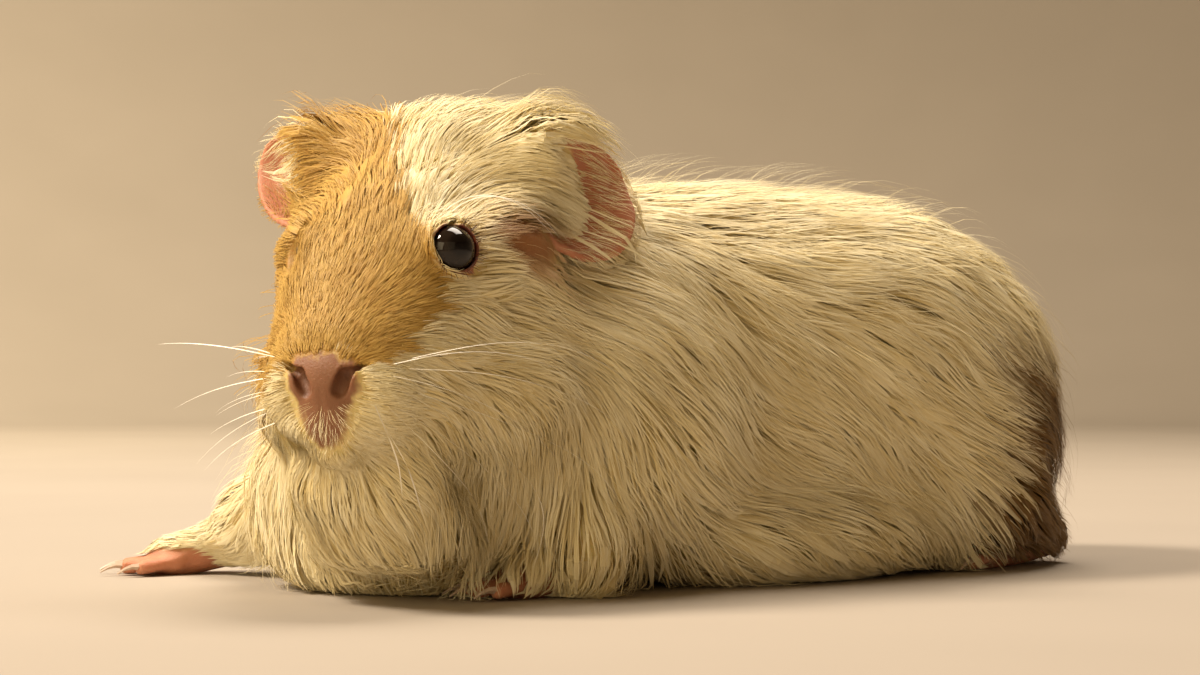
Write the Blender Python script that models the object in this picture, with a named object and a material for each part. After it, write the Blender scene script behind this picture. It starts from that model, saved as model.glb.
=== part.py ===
"""A life-size guinea pig at rest: it lies on its belly with its head raised and turned to its left, and its
right foreleg stretched out to the side.

Frame: metres, +Z up, the floor at Z = 0. The nose points towards -Y and the animal's left side is at +X.
The origin is on the floor, in the flat that the belly rests on. Lengths below are in millimetres times MM.
The solids reach to the tips of the coat.
"""

import math

import bmesh
import bpy
from mathutils import Matrix, Vector

MM = 0.001

# Pose
HEAD_PLACE = Vector((9, -71, 0)) * MM  # on the floor, below the middle of the ears
HEAD_YAW = math.radians(34)  # the head's turn to the left of the trunk's line
GAP = 0.3 * MM  # between nodes that touch
POCKET_GAP = 0.48 * MM  # between a foot and the coat around it
# Where the coat is divided: a point and the direction across the cut. The first two are in the head's frame.
BEHIND_EARS = ((0, 0, 52), (0, -0.72, 0.69))
BEFORE_SHOULDERS = ((0, 13, 46), (0, -0.66, 0.75))
BEFORE_RUMP = ((0, 66, 30), (0, -0.97, 0.24))

# Mesh sizes
VOXEL = 1.6 * MM
FOOT_VOXEL = 0.75 * MM
REGION_VOXEL = 2.5 * MM
BODY_TRIANGLES = 2740
FOOT_TRIANGLES = 170
REGION_TRIANGLES = 90

# Each station of a loft: (y, middle x, half width, lowest z, highest z), in millimetres.
TRUNK_STATIONS = (
    (88, 0, 2, 28, 36),
    (84, 0, 19, 12, 54),
    (71, 0, 35, 0, 70),
    (46, 0, 43, -2, 80),
    (18, 0, 45, -2, 82),
    (-14, 0, 42, -2, 82),
    (-42, 2, 40, -2, 79),
    (-64, 2, 37, -2, 68),
    (-82, -2, 32, -2, 46),
    (-94, -8, 22, 3, 34),
    (-99, -12, 3, 14, 22),
)
# The same in the head's frame, from the nape to the nose.
HEAD_STATIONS = (
    (31, 0, 8, 45, 70),
    (25, 0, 23, 28, 83),
    (12, 0, 29, 22, 91),
    (-2, 0, 31, 20, 92),
    (-14, 0, 29.5, 20, 86.5),
    (-25, 0, 25, 21, 77),
    (-35, 0, 20, 24, 66),
    (-43, 0, 15.5, 27, 55.5),
    (-48, 0, 10, 30, 49),
    (-50, 0, 2, 37, 42),
)

# The eyes, nose and ears in the head's frame, in millimetres. The points are those of the left side.
EYE_RADIUS = 4.4
EYE_PLACE = (14.9, -28.7, 63)
NOSE_PLACE = (0, -49, 38.5)
NOSE_RADII = (7.2, 5.5, 7.5)
NOSTRIL_PLACE = (4.0, -50, 38.8)
NOSTRIL_RADII = (1.4, 2.2, 1.0)
LIPS_PLACE = (0, -46, 28.5)
LIPS_RADII = (5.2, 6, 3.6)
EAR_RIM = ((27, -10, 65), (32, -5, 61), (36.5, 3, 63), (37, 10, 70), (34, 11, 78), (32, 6, 85), (26, -4, 88))
EAR_ROOT = ((24, -10, 67), (22, -8, 68), (21, -5, 71), (21, -3, 75), (21, -3, 79), (21, -4, 83), (23, -6, 86))
EAR_SPREAD = {1: (0, 0, 0), -1: (4.5, -4, 0)}  # how much further out, back and up the rim is held on each side
EAR_LIFT = {1: 0, -1: 1}  # how much higher the whole ear is
EAR_RAISE = {1: 0, -1: 8}  # how much higher the lower end of the rim is
EAR_CUP = 3.0  # how far back the middle of the petal bulges
EAR_THICKNESS = 1.3
EAR_STEPS = 4  # faces from the root to the rim

# Feet: where the wrist or heel is on the floor, where the middle toe ends, and how many toes there are.
FEET = (
    ("forefoot_left", (30, -54), (23, -77), 4),
    ("forefoot_right", (-54.5, -83), (-63, -104), 4),
    ("hindfoot_left", (25, 74), (30, 38), 3),
    ("hindfoot_right", (-26, 73), (-31, 37), 3),
)
# The sole and toes of each kind of foot as rows of (along, across, z, radius) in millimetres, from the wrist or heel.
SOLES = {
    4: ((0, 0, 6.2, 5.0), (5, 0, 4.6, 4.6), (11, 0, 3.2, 4.4)),
    3: ((0, 0, 5.4, 4.4), (12, 0, 3.4, 3.7), (24, 0, 3.0, 4.2)),
}
TOES = {
    4: (((10, -4.2), (17, -6.6)), ((11, -1.5), (20, -2.3)), ((11, 1.6), (20.2, 2.4)), ((10, 4.2), (17.3, 6.6))),
    3: (((23, -3.6), (31, -5.0)), ((24, 0), (33.5, 0)), ((23, 3.6), (31, 5.0))),
}
TOE_RADIUS = 1.75
TOE_MIDDLE_RADIUS = 1.61
TOE_ROOT_HEIGHT = 2.6
TOE_MIDDLE_HEIGHT = 2.3
CLAW_LENGTH = 4.6
CLAW_RADIUS = 0.75
CLAW_TIP_SHARE = 0.28  # of the radius at the root
CLAW_OFFSET = 0.4  # from the end of the toe to the claw's root
CLAW_LIFTS = (0.35, 0.42, -0.01, -0.87)  # how far each ring's middle is above the middle of the toe's end
CLAW_SIDES = 5

# The part of the coat that each leg's upper part takes, as rows of (x, y, z, radius) in millimetres.
LEG_REGIONS = {
    "foreleg_left": ((26, -44, 26, 15), (38, -58, 12, 14), (31, -66, 4, 9)),
    "foreleg_right": ((-24, -54, 26, 14), (-40, -72, 14, 14), (-54, -84, 5, 10)),
    "hindleg_left": ((30, 36, 28, 20), (34, 52, 20, 18), (29, 66, 8, 13)),
    "hindleg_right": ((-30, 36, 28, 20), (-34, 52, 20, 18), (-29, 66, 8, 13)),
}

FUR_WHITE = (0.80, 0.72, 0.55)
FUR_CREAM = (0.80, 0.64, 0.40)
FUR_BROWN = (0.20, 0.11, 0.05)
SKIN_PINK = (0.72, 0.40, 0.32)
EYE_BLACK = (0.012, 0.010, 0.009)
CLAW_HORN = (0.70, 0.58, 0.46)


# --- tools ---------------------------------------------------------------------------------------------------


def clear_scene():
    for old in list(bpy.data.objects):
        bpy.data.objects.remove(old, do_unlink=True)


def material(name, colour, roughness):
    made = bpy.data.materials.new(name)
    made.use_nodes = True
    shader = made.node_tree.nodes["Principled BSDF"]
    shader.inputs["Base Color"].default_value = (*colour, 1)
    shader.inputs["Roughness"].default_value = roughness
    shader.inputs["Metallic"].default_value = 0
    return made


def new_object(name, mesh):
    made = bpy.data.objects.new(name, mesh)
    bpy.context.scene.collection.objects.link(made)
    return made


def object_from(name, bm):
    bmesh.ops.recalc_face_normals(bm, faces=bm.faces)
    mesh = bpy.data.meshes.new(name)
    bm.to_mesh(mesh)
    bm.free()
    return new_object(name, mesh)


def catmull_rom(rows, per_span):
    """The rows of numbers with per_span steps on a smooth curve between each two."""
    rows = [Vector(row) for row in rows]
    ends = [rows[0] * 2 - rows[1], *rows, rows[-1] * 2 - rows[-2]]
    found = []
    for a, b, c, d in zip(ends, ends[1:], ends[2:], ends[3:]):
        for step in range(per_span):
            t = step / per_span
            found.append(
                0.5 * (2 * b + (c - a) * t + (2 * a - 5 * b + 4 * c - d) * t**2 + (3 * b - a - 3 * c + d) * t**3)
            )
    return [*found, rows[-1]]


def superellipse(angle, power):
    """A point of the unit superellipse: 2 is a circle, and more is squarer."""
    c, s = math.cos(angle), math.sin(angle)
    return math.copysign(abs(c) ** (2 / power), c), math.copysign(abs(s) ** (2 / power), s)


def loft(name, stations, power=2.25, taper=0.0, sides=36, per_span=4):
    """A closed body through upright sections across Y, each wider below and narrower above by the taper."""
    bm = bmesh.new()
    rings = []
    smooth = catmull_rom([row[:4] for row in stations], per_span)
    tops = catmull_rom([(row[4], 0) for row in stations], per_span)
    for (y, x, width, low), (high, _) in zip(smooth, tops):
        middle, half = (low + high) / 2, (high - low) / 2
        ring = []
        for side in range(sides):
            across, up = superellipse(2 * math.pi * side / sides, power)
            reach = across * abs(width) * (1 - taper * up)
            ring.append(bm.verts.new(Vector((x + reach, y, middle + up * abs(half))) * MM))
        rings.append(ring)
    for first, second in zip(rings, rings[1:]):
        for side in range(sides):
            after = (side + 1) % sides
            bm.faces.new((first[side], first[after], second[after], second[side]))
    bm.faces.new(rings[0])
    bm.faces.new(rings[-1])
    return object_from(name, bm)


def ball(name, centre, radii, subdivisions=4):
    """An ellipsoid, with its centre and radii in millimetres. It has 20 faces, and four times as many for each
    subdivision after the first."""
    bm = bmesh.new()
    bmesh.ops.create_icosphere(bm, subdivisions=subdivisions, radius=1)
    bmesh.ops.scale(bm, vec=Vector(radii) * MM, verts=bm.verts)
    bmesh.ops.translate(bm, vec=Vector(centre) * MM, verts=bm.verts)
    return object_from(name, bm)


def limb(name, joints, spacing=0.3):
    """A row of overlapping balls along a smooth line through joints of (x, y, z, radius) in millimetres."""
    bm = bmesh.new()
    places = catmull_rom(joints, 8)
    last = None
    for x, y, z, radius in places:
        place = Vector((x, y, z))
        if last is not None and (place - last).length < spacing * radius and (x, y, z, radius) != tuple(places[-1]):
            continue
        last = place
        made = bmesh.ops.create_icosphere(bm, subdivisions=2, radius=radius * MM)
        bmesh.ops.translate(bm, vec=place * MM, verts=made["verts"])
    return object_from(name, bm)


def joined(name, pieces):
    """One object that holds the meshes of all the pieces, in world space. The pieces are removed."""
    bm = bmesh.new()
    for piece in pieces:
        mesh = piece.data
        mesh.transform(piece.matrix_basis)
        bm.from_mesh(mesh)
        bpy.data.objects.remove(piece)
    return object_from(name, bm)


def bake_modifiers(obj):
    """Puts the evaluated mesh in place of the object's own."""
    graph = bpy.context.evaluated_depsgraph_get()
    mesh = bpy.data.meshes.new_from_object(obj.evaluated_get(graph))
    obj.modifiers.clear()
    obj.data = mesh
    return obj


def fused(name, pieces, voxel, smoothing, triangles, keep=None):
    """The union of the pieces as one skin, with soft creases, in about so many triangles. keep is a function of a
    point that gives how much more of the detail there is kept, from 0 to 1."""
    whole = joined(name, pieces)
    remesh = whole.modifiers.new("union", "REMESH")
    remesh.mode = "VOXEL"
    remesh.voxel_size = voxel
    soften = whole.modifiers.new("soften", "SMOOTH")
    soften.factor = 0.5
    soften.iterations = smoothing
    bake_modifiers(whole)
    thin = whole.modifiers.new("thin_out", "DECIMATE")
    thin.ratio = triangles / (2 * len(whole.data.polygons))
    if keep:
        group = whole.vertex_groups.new(name="detail")
        for vertex in whole.data.vertices:
            group.add([vertex.index], 1 - keep(vertex.co), "REPLACE")
        thin.vertex_group = "detail"
        thin.vertex_group_factor = 0.12
    bake_modifiers(whole)
    whole.vertex_groups.clear()
    return whole


def boolean(obj, cutter, operation):
    made = obj.modifiers.new(operation.lower(), "BOOLEAN")
    made.operation = operation
    made.solver = "EXACT"
    made.object = cutter
    return obj


def as_cutter(obj):
    obj.hide_render = True
    obj.display_type = "WIRE"
    return obj


def cut_at(obj, point, normal):
    """Cuts the object at a plane and keeps, closed, the side that the normal points away from."""
    bm = bmesh.new()
    bm.from_mesh(obj.data)
    everything = [*bm.verts, *bm.edges, *bm.faces]
    cut = bmesh.ops.bisect_plane(bm, geom=everything, plane_co=point, plane_no=normal, clear_outer=True)
    rim = [part for part in cut["geom_cut"] if isinstance(part, bmesh.types.BMEdge)]
    bmesh.ops.triangle_fill(bm, edges=rim, use_beauty=True, use_dissolve=False)
    bmesh.ops.recalc_face_normals(bm, faces=bm.faces)
    bm.to_mesh(obj.data)
    bm.free()
    return obj


def copy_of(obj, name):
    return new_object(name, obj.data.copy())


def grown(obj, name, by):
    """A cutter with the object's shape, its surface moved out by so much."""
    made = copy_of(obj, name)
    for vertex, normal in [(v, v.normal.copy()) for v in made.data.vertices]:
        vertex.co += normal * by
    return as_cutter(made)


def head_frame():
    return Matrix.Translation(HEAD_PLACE) @ Matrix.Rotation(HEAD_YAW, 4, "Z")


def in_head(obj):
    """Puts an object that was made in the head's frame in its place."""
    obj.data.transform(head_frame())
    return obj


def mirrored(point, side):
    return Vector((point[0] * side, *point[1:]))


# --- the parts ---------------------------------------------------------------------------------------------


def flesh_pieces():
    """The volumes that the body, head and legs are fused from."""
    pieces = [loft("trunk_loft", TRUNK_STATIONS), in_head(loft("head_loft", HEAD_STATIONS, 2.2, 0.2))]
    for side in (1, -1):
        pieces += [
            in_head(ball("cheek", (19 * side, -12, 38), (14.5, 18, 16))),
            in_head(ball("temple", (15 * side, -10, 62), (14, 14, 15))),
            in_head(ball("jowl", (18 * side, 6, 38), (14, 16, 16))),
            in_head(ball("eyelids", (11.5 * side, -26.5, 63), (6.5, 7, 8))),
            in_head(ball("ear_tuft", (19 * side, 2, 82), (11.5, 13, 11))),
            in_head(ball("whisker_pad", (8.5 * side, -41, 38), (8, 8, 8))),
            ball("haunch", (26 * side, 44, 30), (19, 28, 29)),
            ball("flank_skirt", (25 * side, 2, 10), (19, 50, 12)),
            limb("hindleg_limb", ((30 * side, 54, 16, 14), (27 * side, 66, 9, 9), (25 * side, 70, 6, 6))),
        ]
    pieces += [
        in_head(ball("crest", (0, 0, 82), (29, 16, 12))),
        in_head(ball("chin", (0, -36, 30), (9, 10, 6.5))),
        ball("shoulder_left", (30, -38, 32), (17, 26, 30)),
        ball("shoulder_right", (-26, -56, 26), (16, 24, 26)),
        ball("breast", (-2, -72, 20), (32, 22, 20)),
        limb("foreleg_right_limb", ((-26, -62, 24, 15), (-40, -76, 15, 12), (-50, -82, 9, 8), (-54, -84, 6, 5.5))),
        limb("foreleg_left_limb", ((30, -46, 20, 14), (35, -54, 11, 11), (31, -58, 7, 7), (29.5, -60, 5.8, 5.5))),
    ]
    return pieces


def detail_wanted(point):
    """More triangles for the face than for the trunk."""
    local = head_frame().inverted() @ point
    distance = (local - Vector((0, -30, 52)) * MM).length
    return max(0.0, 1 - distance / (55 * MM))


def largest_island(obj):
    """Drops the crumbs that a cut left beside the main body."""
    bm = bmesh.new()
    bm.from_mesh(obj.data)
    unseen = set(bm.verts)
    islands = []
    while unseen:
        island = set()
        front = {unseen.pop()}
        while front:
            island |= front
            front = {edge.other_vert(vert) for vert in front for edge in vert.link_edges} - island
        unseen -= island
        islands.append(island)
    islands.sort(key=len)
    bmesh.ops.delete(bm, geom=[vert for island in islands[:-1] for vert in island], context="VERTS")
    bm.to_mesh(obj.data)
    bm.free()
    return obj


def subtracted(source, cutter):
    bake_modifiers(boolean(source, cutter, "DIFFERENCE"))
    bpy.data.objects.remove(cutter)
    return largest_island(source)


def carved(name, source, region):
    """Takes the part of the source that is inside the region, as an object of its own."""
    piece = bake_modifiers(boolean(copy_of(source, name), region, "INTERSECT"))
    subtracted(source, grown(region, "cutter", GAP))
    bpy.data.objects.remove(region)
    return largest_island(piece)


def ear(side):
    """A thin petal between its root on the head and its free rim, cupped backwards, open to the front."""
    rim = catmull_rom(EAR_RIM, 2)
    root = catmull_rom(EAR_ROOT, 2)
    bm = bmesh.new()
    rows = []
    for index, (low, high) in enumerate(zip(root, rim)):
        along = index / (len(rim) - 1)
        row = []
        for step in range(EAR_STEPS + 1):
            t = step / EAR_STEPS
            point = low.lerp(high, t)
            point.y += EAR_CUP * math.sin(math.pi * t) * math.sin(math.pi * along)
            point.z += EAR_LIFT[side] + EAR_RAISE[side] * t * (1 - along)
            point += Vector(EAR_SPREAD[side]) * t
            row.append(bm.verts.new(mirrored(point, side) * MM))
        rows.append(row)
    for first, second in zip(rows, rows[1:]):
        for step in range(EAR_STEPS):
            bm.faces.new((first[step], first[step + 1], second[step + 1], second[step]))
    sheet = object_from("ear", bm)
    thicken = sheet.modifiers.new("thickness", "SOLIDIFY")
    thicken.thickness = EAR_THICKNESS * MM
    thicken.offset = 0
    return in_head(bake_modifiers(sheet))


def foot_frame(wrist, toe):
    """From the foot's own frame, with its toes towards +X, to the world."""
    along = Vector((*toe, 0)) - Vector((*wrist, 0))
    turn = math.atan2(along.y, along.x)
    return Matrix.Translation(Vector((*wrist, 0)) * MM) @ Matrix.Rotation(turn, 4, "Z")


def claw(name, root, tip, radius):
    """A small curved cone that starts inside the end of the toe and comes down towards the floor."""
    along = Vector((tip[0] - root[0], tip[1] - root[1], 0)).normalized()
    across = Vector((-along.y, along.x, 0))
    up = Vector((0, 0, 1))
    start = Vector((tip[0], tip[1], TOE_RADIUS)) + along * CLAW_OFFSET
    bm = bmesh.new()
    rings = []
    for step, lift in enumerate(CLAW_LIFTS):
        t = step / (len(CLAW_LIFTS) - 1)
        centre = start + along * CLAW_LENGTH * t + up * lift
        width = radius * (1 - (1 - CLAW_TIP_SHARE) * t)
        ring = []
        for side in range(CLAW_SIDES):
            angle = 2 * math.pi * side / CLAW_SIDES
            place = centre + (across * math.cos(angle) + up * math.sin(angle)) * width
            ring.append(bm.verts.new(place * MM))
        rings.append(ring)
    for first, second in zip(rings, rings[1:]):
        for side in range(CLAW_SIDES):
            after = (side + 1) % CLAW_SIDES
            bm.faces.new((first[side], first[after], second[after], second[side]))
    bm.faces.new(rings[0])
    bm.faces.new(rings[-1])
    return object_from(name, bm)


def foot(name, wrist, toe, toes):
    """The bare foot, and its claws as objects of their own."""
    frame = foot_frame(wrist, toe)
    pieces = [limb("sole", SOLES[toes])]
    for root, tip in TOES[toes]:
        middle = [(a + b) / 2 for a, b in zip(root, tip)]
        joints = (
            (*root, TOE_ROOT_HEIGHT, TOE_RADIUS),
            (*middle, TOE_MIDDLE_HEIGHT, TOE_MIDDLE_RADIUS),
            (*tip, TOE_RADIUS, TOE_RADIUS),
        )
        pieces.append(limb("toe", joints))
    made = fused(name, pieces, FOOT_VOXEL, 3, FOOT_TRIANGLES)
    cut_at(made, Vector((0, 0, 0)), Vector((0, 0, -1)))
    claws = []
    for number, (root, tip) in enumerate(TOES[toes], 1):
        subtracted(made, as_cutter(claw("cutter", root, tip, CLAW_RADIUS + GAP / MM)))
        claws.append(claw(f"{name.replace('foot', 'claw')}_{number}", root, tip, CLAW_RADIUS))
    for piece in (made, *claws):
        piece.data.transform(frame)
    return made, claws


def pocket_around(pieces):
    """A convex cutter a little larger than the pieces, so that the coat around them keeps clear of them."""
    bm = bmesh.new()
    for piece in pieces:
        bm.from_mesh(piece.data)
    hull = bmesh.ops.convex_hull(bm, input=bm.verts)
    inside = {part for part in hull["geom_interior"] if isinstance(part, bmesh.types.BMVert)}
    bmesh.ops.delete(bm, geom=list(inside), context="VERTS")
    loose = [face for face in bm.faces if face not in set(hull["geom"])]
    bmesh.ops.delete(bm, geom=loose, context="FACES_ONLY")
    bmesh.ops.recalc_face_normals(bm, faces=bm.faces)
    bm.normal_update()
    for vertex, normal in [(v, v.normal.copy()) for v in bm.verts]:
        vertex.co += normal * POCKET_GAP
    return as_cutter(object_from("pocket", bm))


def divide(front, back, cut, frame):
    """Cuts two copies of a body at a plane, a gap apart, so that one keeps its front and the other its back."""
    point, across = (Vector(values) for values in cut)
    normal = (frame.to_3x3() @ across).normalized()
    middle = frame @ (point * MM)
    cut_at(front, middle + normal * GAP / 2, -normal)
    cut_at(back, middle - normal * GAP / 2, normal)


def finish(obj, surface):
    obj.data.materials.clear()
    obj.data.materials.append(surface)
    for face in obj.data.polygons:
        face.use_smooth = True
        face.material_index = 0


def build():
    clear_scene()
    white = material("fur_white", FUR_WHITE, 0.85)
    cream = material("fur_cream", FUR_CREAM, 0.85)
    brown = material("fur_brown", FUR_BROWN, 0.85)
    pink = material("bare_skin", SKIN_PINK, 0.55)
    black = material("eye_surface", EYE_BLACK, 0.05)
    horn = material("claw_horn", CLAW_HORN, 0.35)

    body = fused("body", flesh_pieces(), VOXEL, 12, BODY_TRIANGLES, detail_wanted)
    cut_at(body, Vector((0, 0, 0)), Vector((0, 0, -1)))

    for side, word in ((1, "left"), (-1, "right")):
        petal = ear(side)
        petal.name = f"ear_{word}"
        subtracted(petal, grown(body, "cutter", GAP))
        finish(petal, pink)

    for name, wrist, toe, toes in FEET:
        made, claws = foot(name, wrist, toe, toes)
        subtracted(body, pocket_around((made, *claws)))
        finish(made, pink)
        for piece in claws:
            finish(piece, horn)

    for name, joints in LEG_REGIONS.items():
        region = fused("region", [limb("region_limb", joints)], REGION_VOXEL, 3, REGION_TRIANGLES)
        finish(carved(name, body, as_cutter(region)), white)

    nose = carved("nose", body, as_cutter(in_head(ball("region", NOSE_PLACE, NOSE_RADII, 2))))
    finish(carved("lips", body, as_cutter(in_head(ball("region", LIPS_PLACE, LIPS_RADII, 2)))), pink)
    for side, word in ((1, "left"), (-1, "right")):
        subtracted(nose, as_cutter(in_head(ball("cutter", mirrored(NOSTRIL_PLACE, side), NOSTRIL_RADII, 2))))
        place = mirrored(EYE_PLACE, side)
        socket = EYE_RADIUS + GAP / MM
        subtracted(body, as_cutter(in_head(ball("cutter", place, (socket, socket, socket), 3))))
        finish(in_head(ball(f"eye_{word}", place, (EYE_RADIUS, EYE_RADIUS, EYE_RADIUS), 3)), black)
    finish(nose, pink)

    head, neck, trunk, rump = (copy_of(body, name) for name in ("head", "neck", "trunk", "rump"))
    bpy.data.objects.remove(body)
    divide(head, neck, BEHIND_EARS, head_frame())
    divide(neck, trunk, BEFORE_SHOULDERS, head_frame())
    divide(trunk, rump, BEFORE_RUMP, Matrix())
    finish(head, cream)
    finish(neck, white)
    finish(trunk, white)
    finish(rump, brown)


build()
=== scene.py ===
"""A guinea pig at rest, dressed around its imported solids: skin, coat of solid tufts, eyes, claws, whiskers.

The solids reach to the tips of the coat. The skin is worked out from them: their union, pulled in by the
coat's depth, with the nose, lips and eyelids shaped on it. Lengths are in metres, and MM is a millimetre.
"""

import math

import bmesh
import bpy
import numpy as np
import openvdb
from mathutils import Matrix, Vector
from mathutils.kdtree import KDTree


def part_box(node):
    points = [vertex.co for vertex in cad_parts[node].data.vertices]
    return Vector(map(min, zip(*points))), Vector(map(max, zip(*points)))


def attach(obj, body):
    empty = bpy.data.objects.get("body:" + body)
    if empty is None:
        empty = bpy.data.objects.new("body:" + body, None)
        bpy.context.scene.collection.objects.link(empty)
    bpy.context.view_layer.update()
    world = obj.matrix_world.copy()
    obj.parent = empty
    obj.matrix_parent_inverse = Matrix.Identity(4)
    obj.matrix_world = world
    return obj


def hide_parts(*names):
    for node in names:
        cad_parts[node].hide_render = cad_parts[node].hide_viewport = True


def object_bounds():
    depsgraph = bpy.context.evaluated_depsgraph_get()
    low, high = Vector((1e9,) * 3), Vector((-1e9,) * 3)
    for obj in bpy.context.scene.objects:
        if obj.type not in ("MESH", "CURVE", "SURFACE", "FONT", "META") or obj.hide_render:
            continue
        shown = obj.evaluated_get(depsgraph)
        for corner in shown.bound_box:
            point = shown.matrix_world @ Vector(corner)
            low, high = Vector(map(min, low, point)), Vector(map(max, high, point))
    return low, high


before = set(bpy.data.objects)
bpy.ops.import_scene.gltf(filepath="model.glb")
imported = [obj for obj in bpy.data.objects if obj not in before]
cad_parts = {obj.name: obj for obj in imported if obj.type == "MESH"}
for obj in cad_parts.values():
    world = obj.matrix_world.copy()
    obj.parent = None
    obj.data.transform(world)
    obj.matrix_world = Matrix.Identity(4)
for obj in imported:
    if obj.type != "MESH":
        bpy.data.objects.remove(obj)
CAD_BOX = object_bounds()

MM = 0.001
SEED = 7

# The head's own frame: its left is +X, its back is +Y, and its origin is on the floor between the ears.
HEAD_PLACE = np.array((9, -71, 0)) * MM
HEAD_YAW = math.radians(34)
# The ears: each petal runs from its root on the head to its free rim, in millimetres of the head's frame.
# Each rim is given as on the left; the right one is held higher and further out.
# fmt: off
EAR_ROOT = (
    (24, -10, 67), (22, -8, 68), (21, -5, 71), (21, -3, 75), (21, -3, 79), (21, -4, 83), (23, -6, 86),
)
RIM_LEFT = (
    (26, -7, 64.5), (30, 3, 62), (34.5, 8, 64), (36, 11, 70), (33.5, 13, 76), (31, 11, 82), (26.5, 0, 87),
)
RIM_RIGHT = (
    (25, -10, 68), (29, -8, 70), (34, -3, 72), (38.5, 2, 76.5),
    (40, 5, 81.5), (37.5, 4, 86.5), (29, -3, 88.5),
)
# fmt: on
EAR_CORE = (9, -2, 74)
EAR_CUP = 3.0
EAR_HAIR_TOP = 83.5  # above this height the head's hair covers the ears too
# The nostrils and the cleft of the lips: hollows round straight lines, each with its start, end and radius
# in millimetres of the head's frame.
NOSTRIL = (((3.3, -49.4, 38.7), (4.1, -48.5, 41.0), 1.4), ((4.3, -48.7, 41.3), (7.2, -46.6, 42.6), 0.9))
CLEFT = ((0, -51.0, 38.8), (0, -48.4, 29.5), 0.5)
# The throat's fall from the chin to the floor, in the same way.
THROAT = ((0, -31.5, 21.5), (0, -12, 1), 6.5)
# The outline of the bare nose and lips from the front: half widths at heights, in millimetres.
MUZZLE_HEIGHTS = (28.0, 29.2, 31.0, 34.0, 37.0, 38.5, 41.0, 43.0, 44.3, 45.0)
MUZZLE_WIDTHS = (0.0, 2.4, 3.8, 4.8, 5.6, 6.6, 7.0, 6.3, 3.8, 0.0)
EYE_RADIUS = 4.4
# Each eye: its side, its place in the head's frame and the way it looks, both mirrored for the right one.
EYE_PLACES = (
    ("left", 1, (14.9, -28.7, 63), (0.74, -0.62, 0.22)),
    ("right", -1, (12.2, -25.0, 63), (0.985, -0.06, 0.15)),
)
LID = 0.5  # the lids' thickness
OPENING = (4.25, 4.2)  # the half length and half height of the opening between the lids
OPENING_TILT = math.radians(15)  # the outer corner is higher

# The distance fields: their grid's pitch, its margin round the solids, and how far from the skin they count.
PITCH = 0.6 * MM
MARGIN = 16 * MM
BAND = 15 * MM
SOLID_BAND = 4 * PITCH  # how far from each solid its own field counts
GAP_CLOSING = 0.4 * MM
SKIN_TRIANGLES = 130_000
FACE_BOX = ((0, -22, 52), 42)  # the middle and half the size of a cube round the face, in millimetres

FLESH = [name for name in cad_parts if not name.startswith(("eye_", "foreclaw", "hindclaw"))]
EARS = ("ear_left", "ear_right")
FEET = [name for name in FLESH if "foot" in name]

# The ginger blaze's edge on the animal's left: its distance from the head's middle at heights.
GINGER_HEIGHTS = (30, 36, 40, 43, 46, 50, 54, 60, 64, 68, 72, 78, 84, 92)
GINGER_EDGE = (-8, -6, 3, 8.5, 11, 13, 13.5, 14, 11.5, 7, 3, -1, -4.5, -7)

# The parts of the coat that aren't white, in the order in which they cover each other.
MARKINGS = ("ginger", "brown", "thin")
# The thin-haired place behind the left eye: its middle and its radii, in millimetres of the head's frame.
THIN_PATCH = ((24, -16.5, 65.5), (12, 13, 6.5))

# The whiskers on the animal's left: places across and up the cheek, in millimetres, from root to tip.
# They are seen along a slant, given by its cosine and sine, from so far ahead of the head's origin.
WHISKER_SLANT = (0.94, 0.342)
WHISKER_AHEAD = 50.5
WHISKERS = (
    ((14.5, 38.5), (25.9, 31.2), (34.9, 22.7), (38.5, 14.9), (35.6, 5.5)),
    ((17, 38), (31, 33), (45.4, 25.5), (51, 19)),
    ((15.6, 42.2), (31.7, 41.1), (48, 35.1), (53.7, 28)),
    ((12, 36), (20, 27), (26, 18), (28, 10)),
    ((14, 35.5), (24, 28), (33, 18), (36, 12)),
    ((16, 44), (30, 47), (43, 46), (52, 41)),
    ((11, 33.5), (15, 25), (18, 14)),
    ((13, 41), (24, 38), (36, 31), (43, 22)),
    ((13, 43), (22, 45), (32, 45), (41, 42)),
    ((10, 36), (13, 28), (14, 20)),
)

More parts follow.
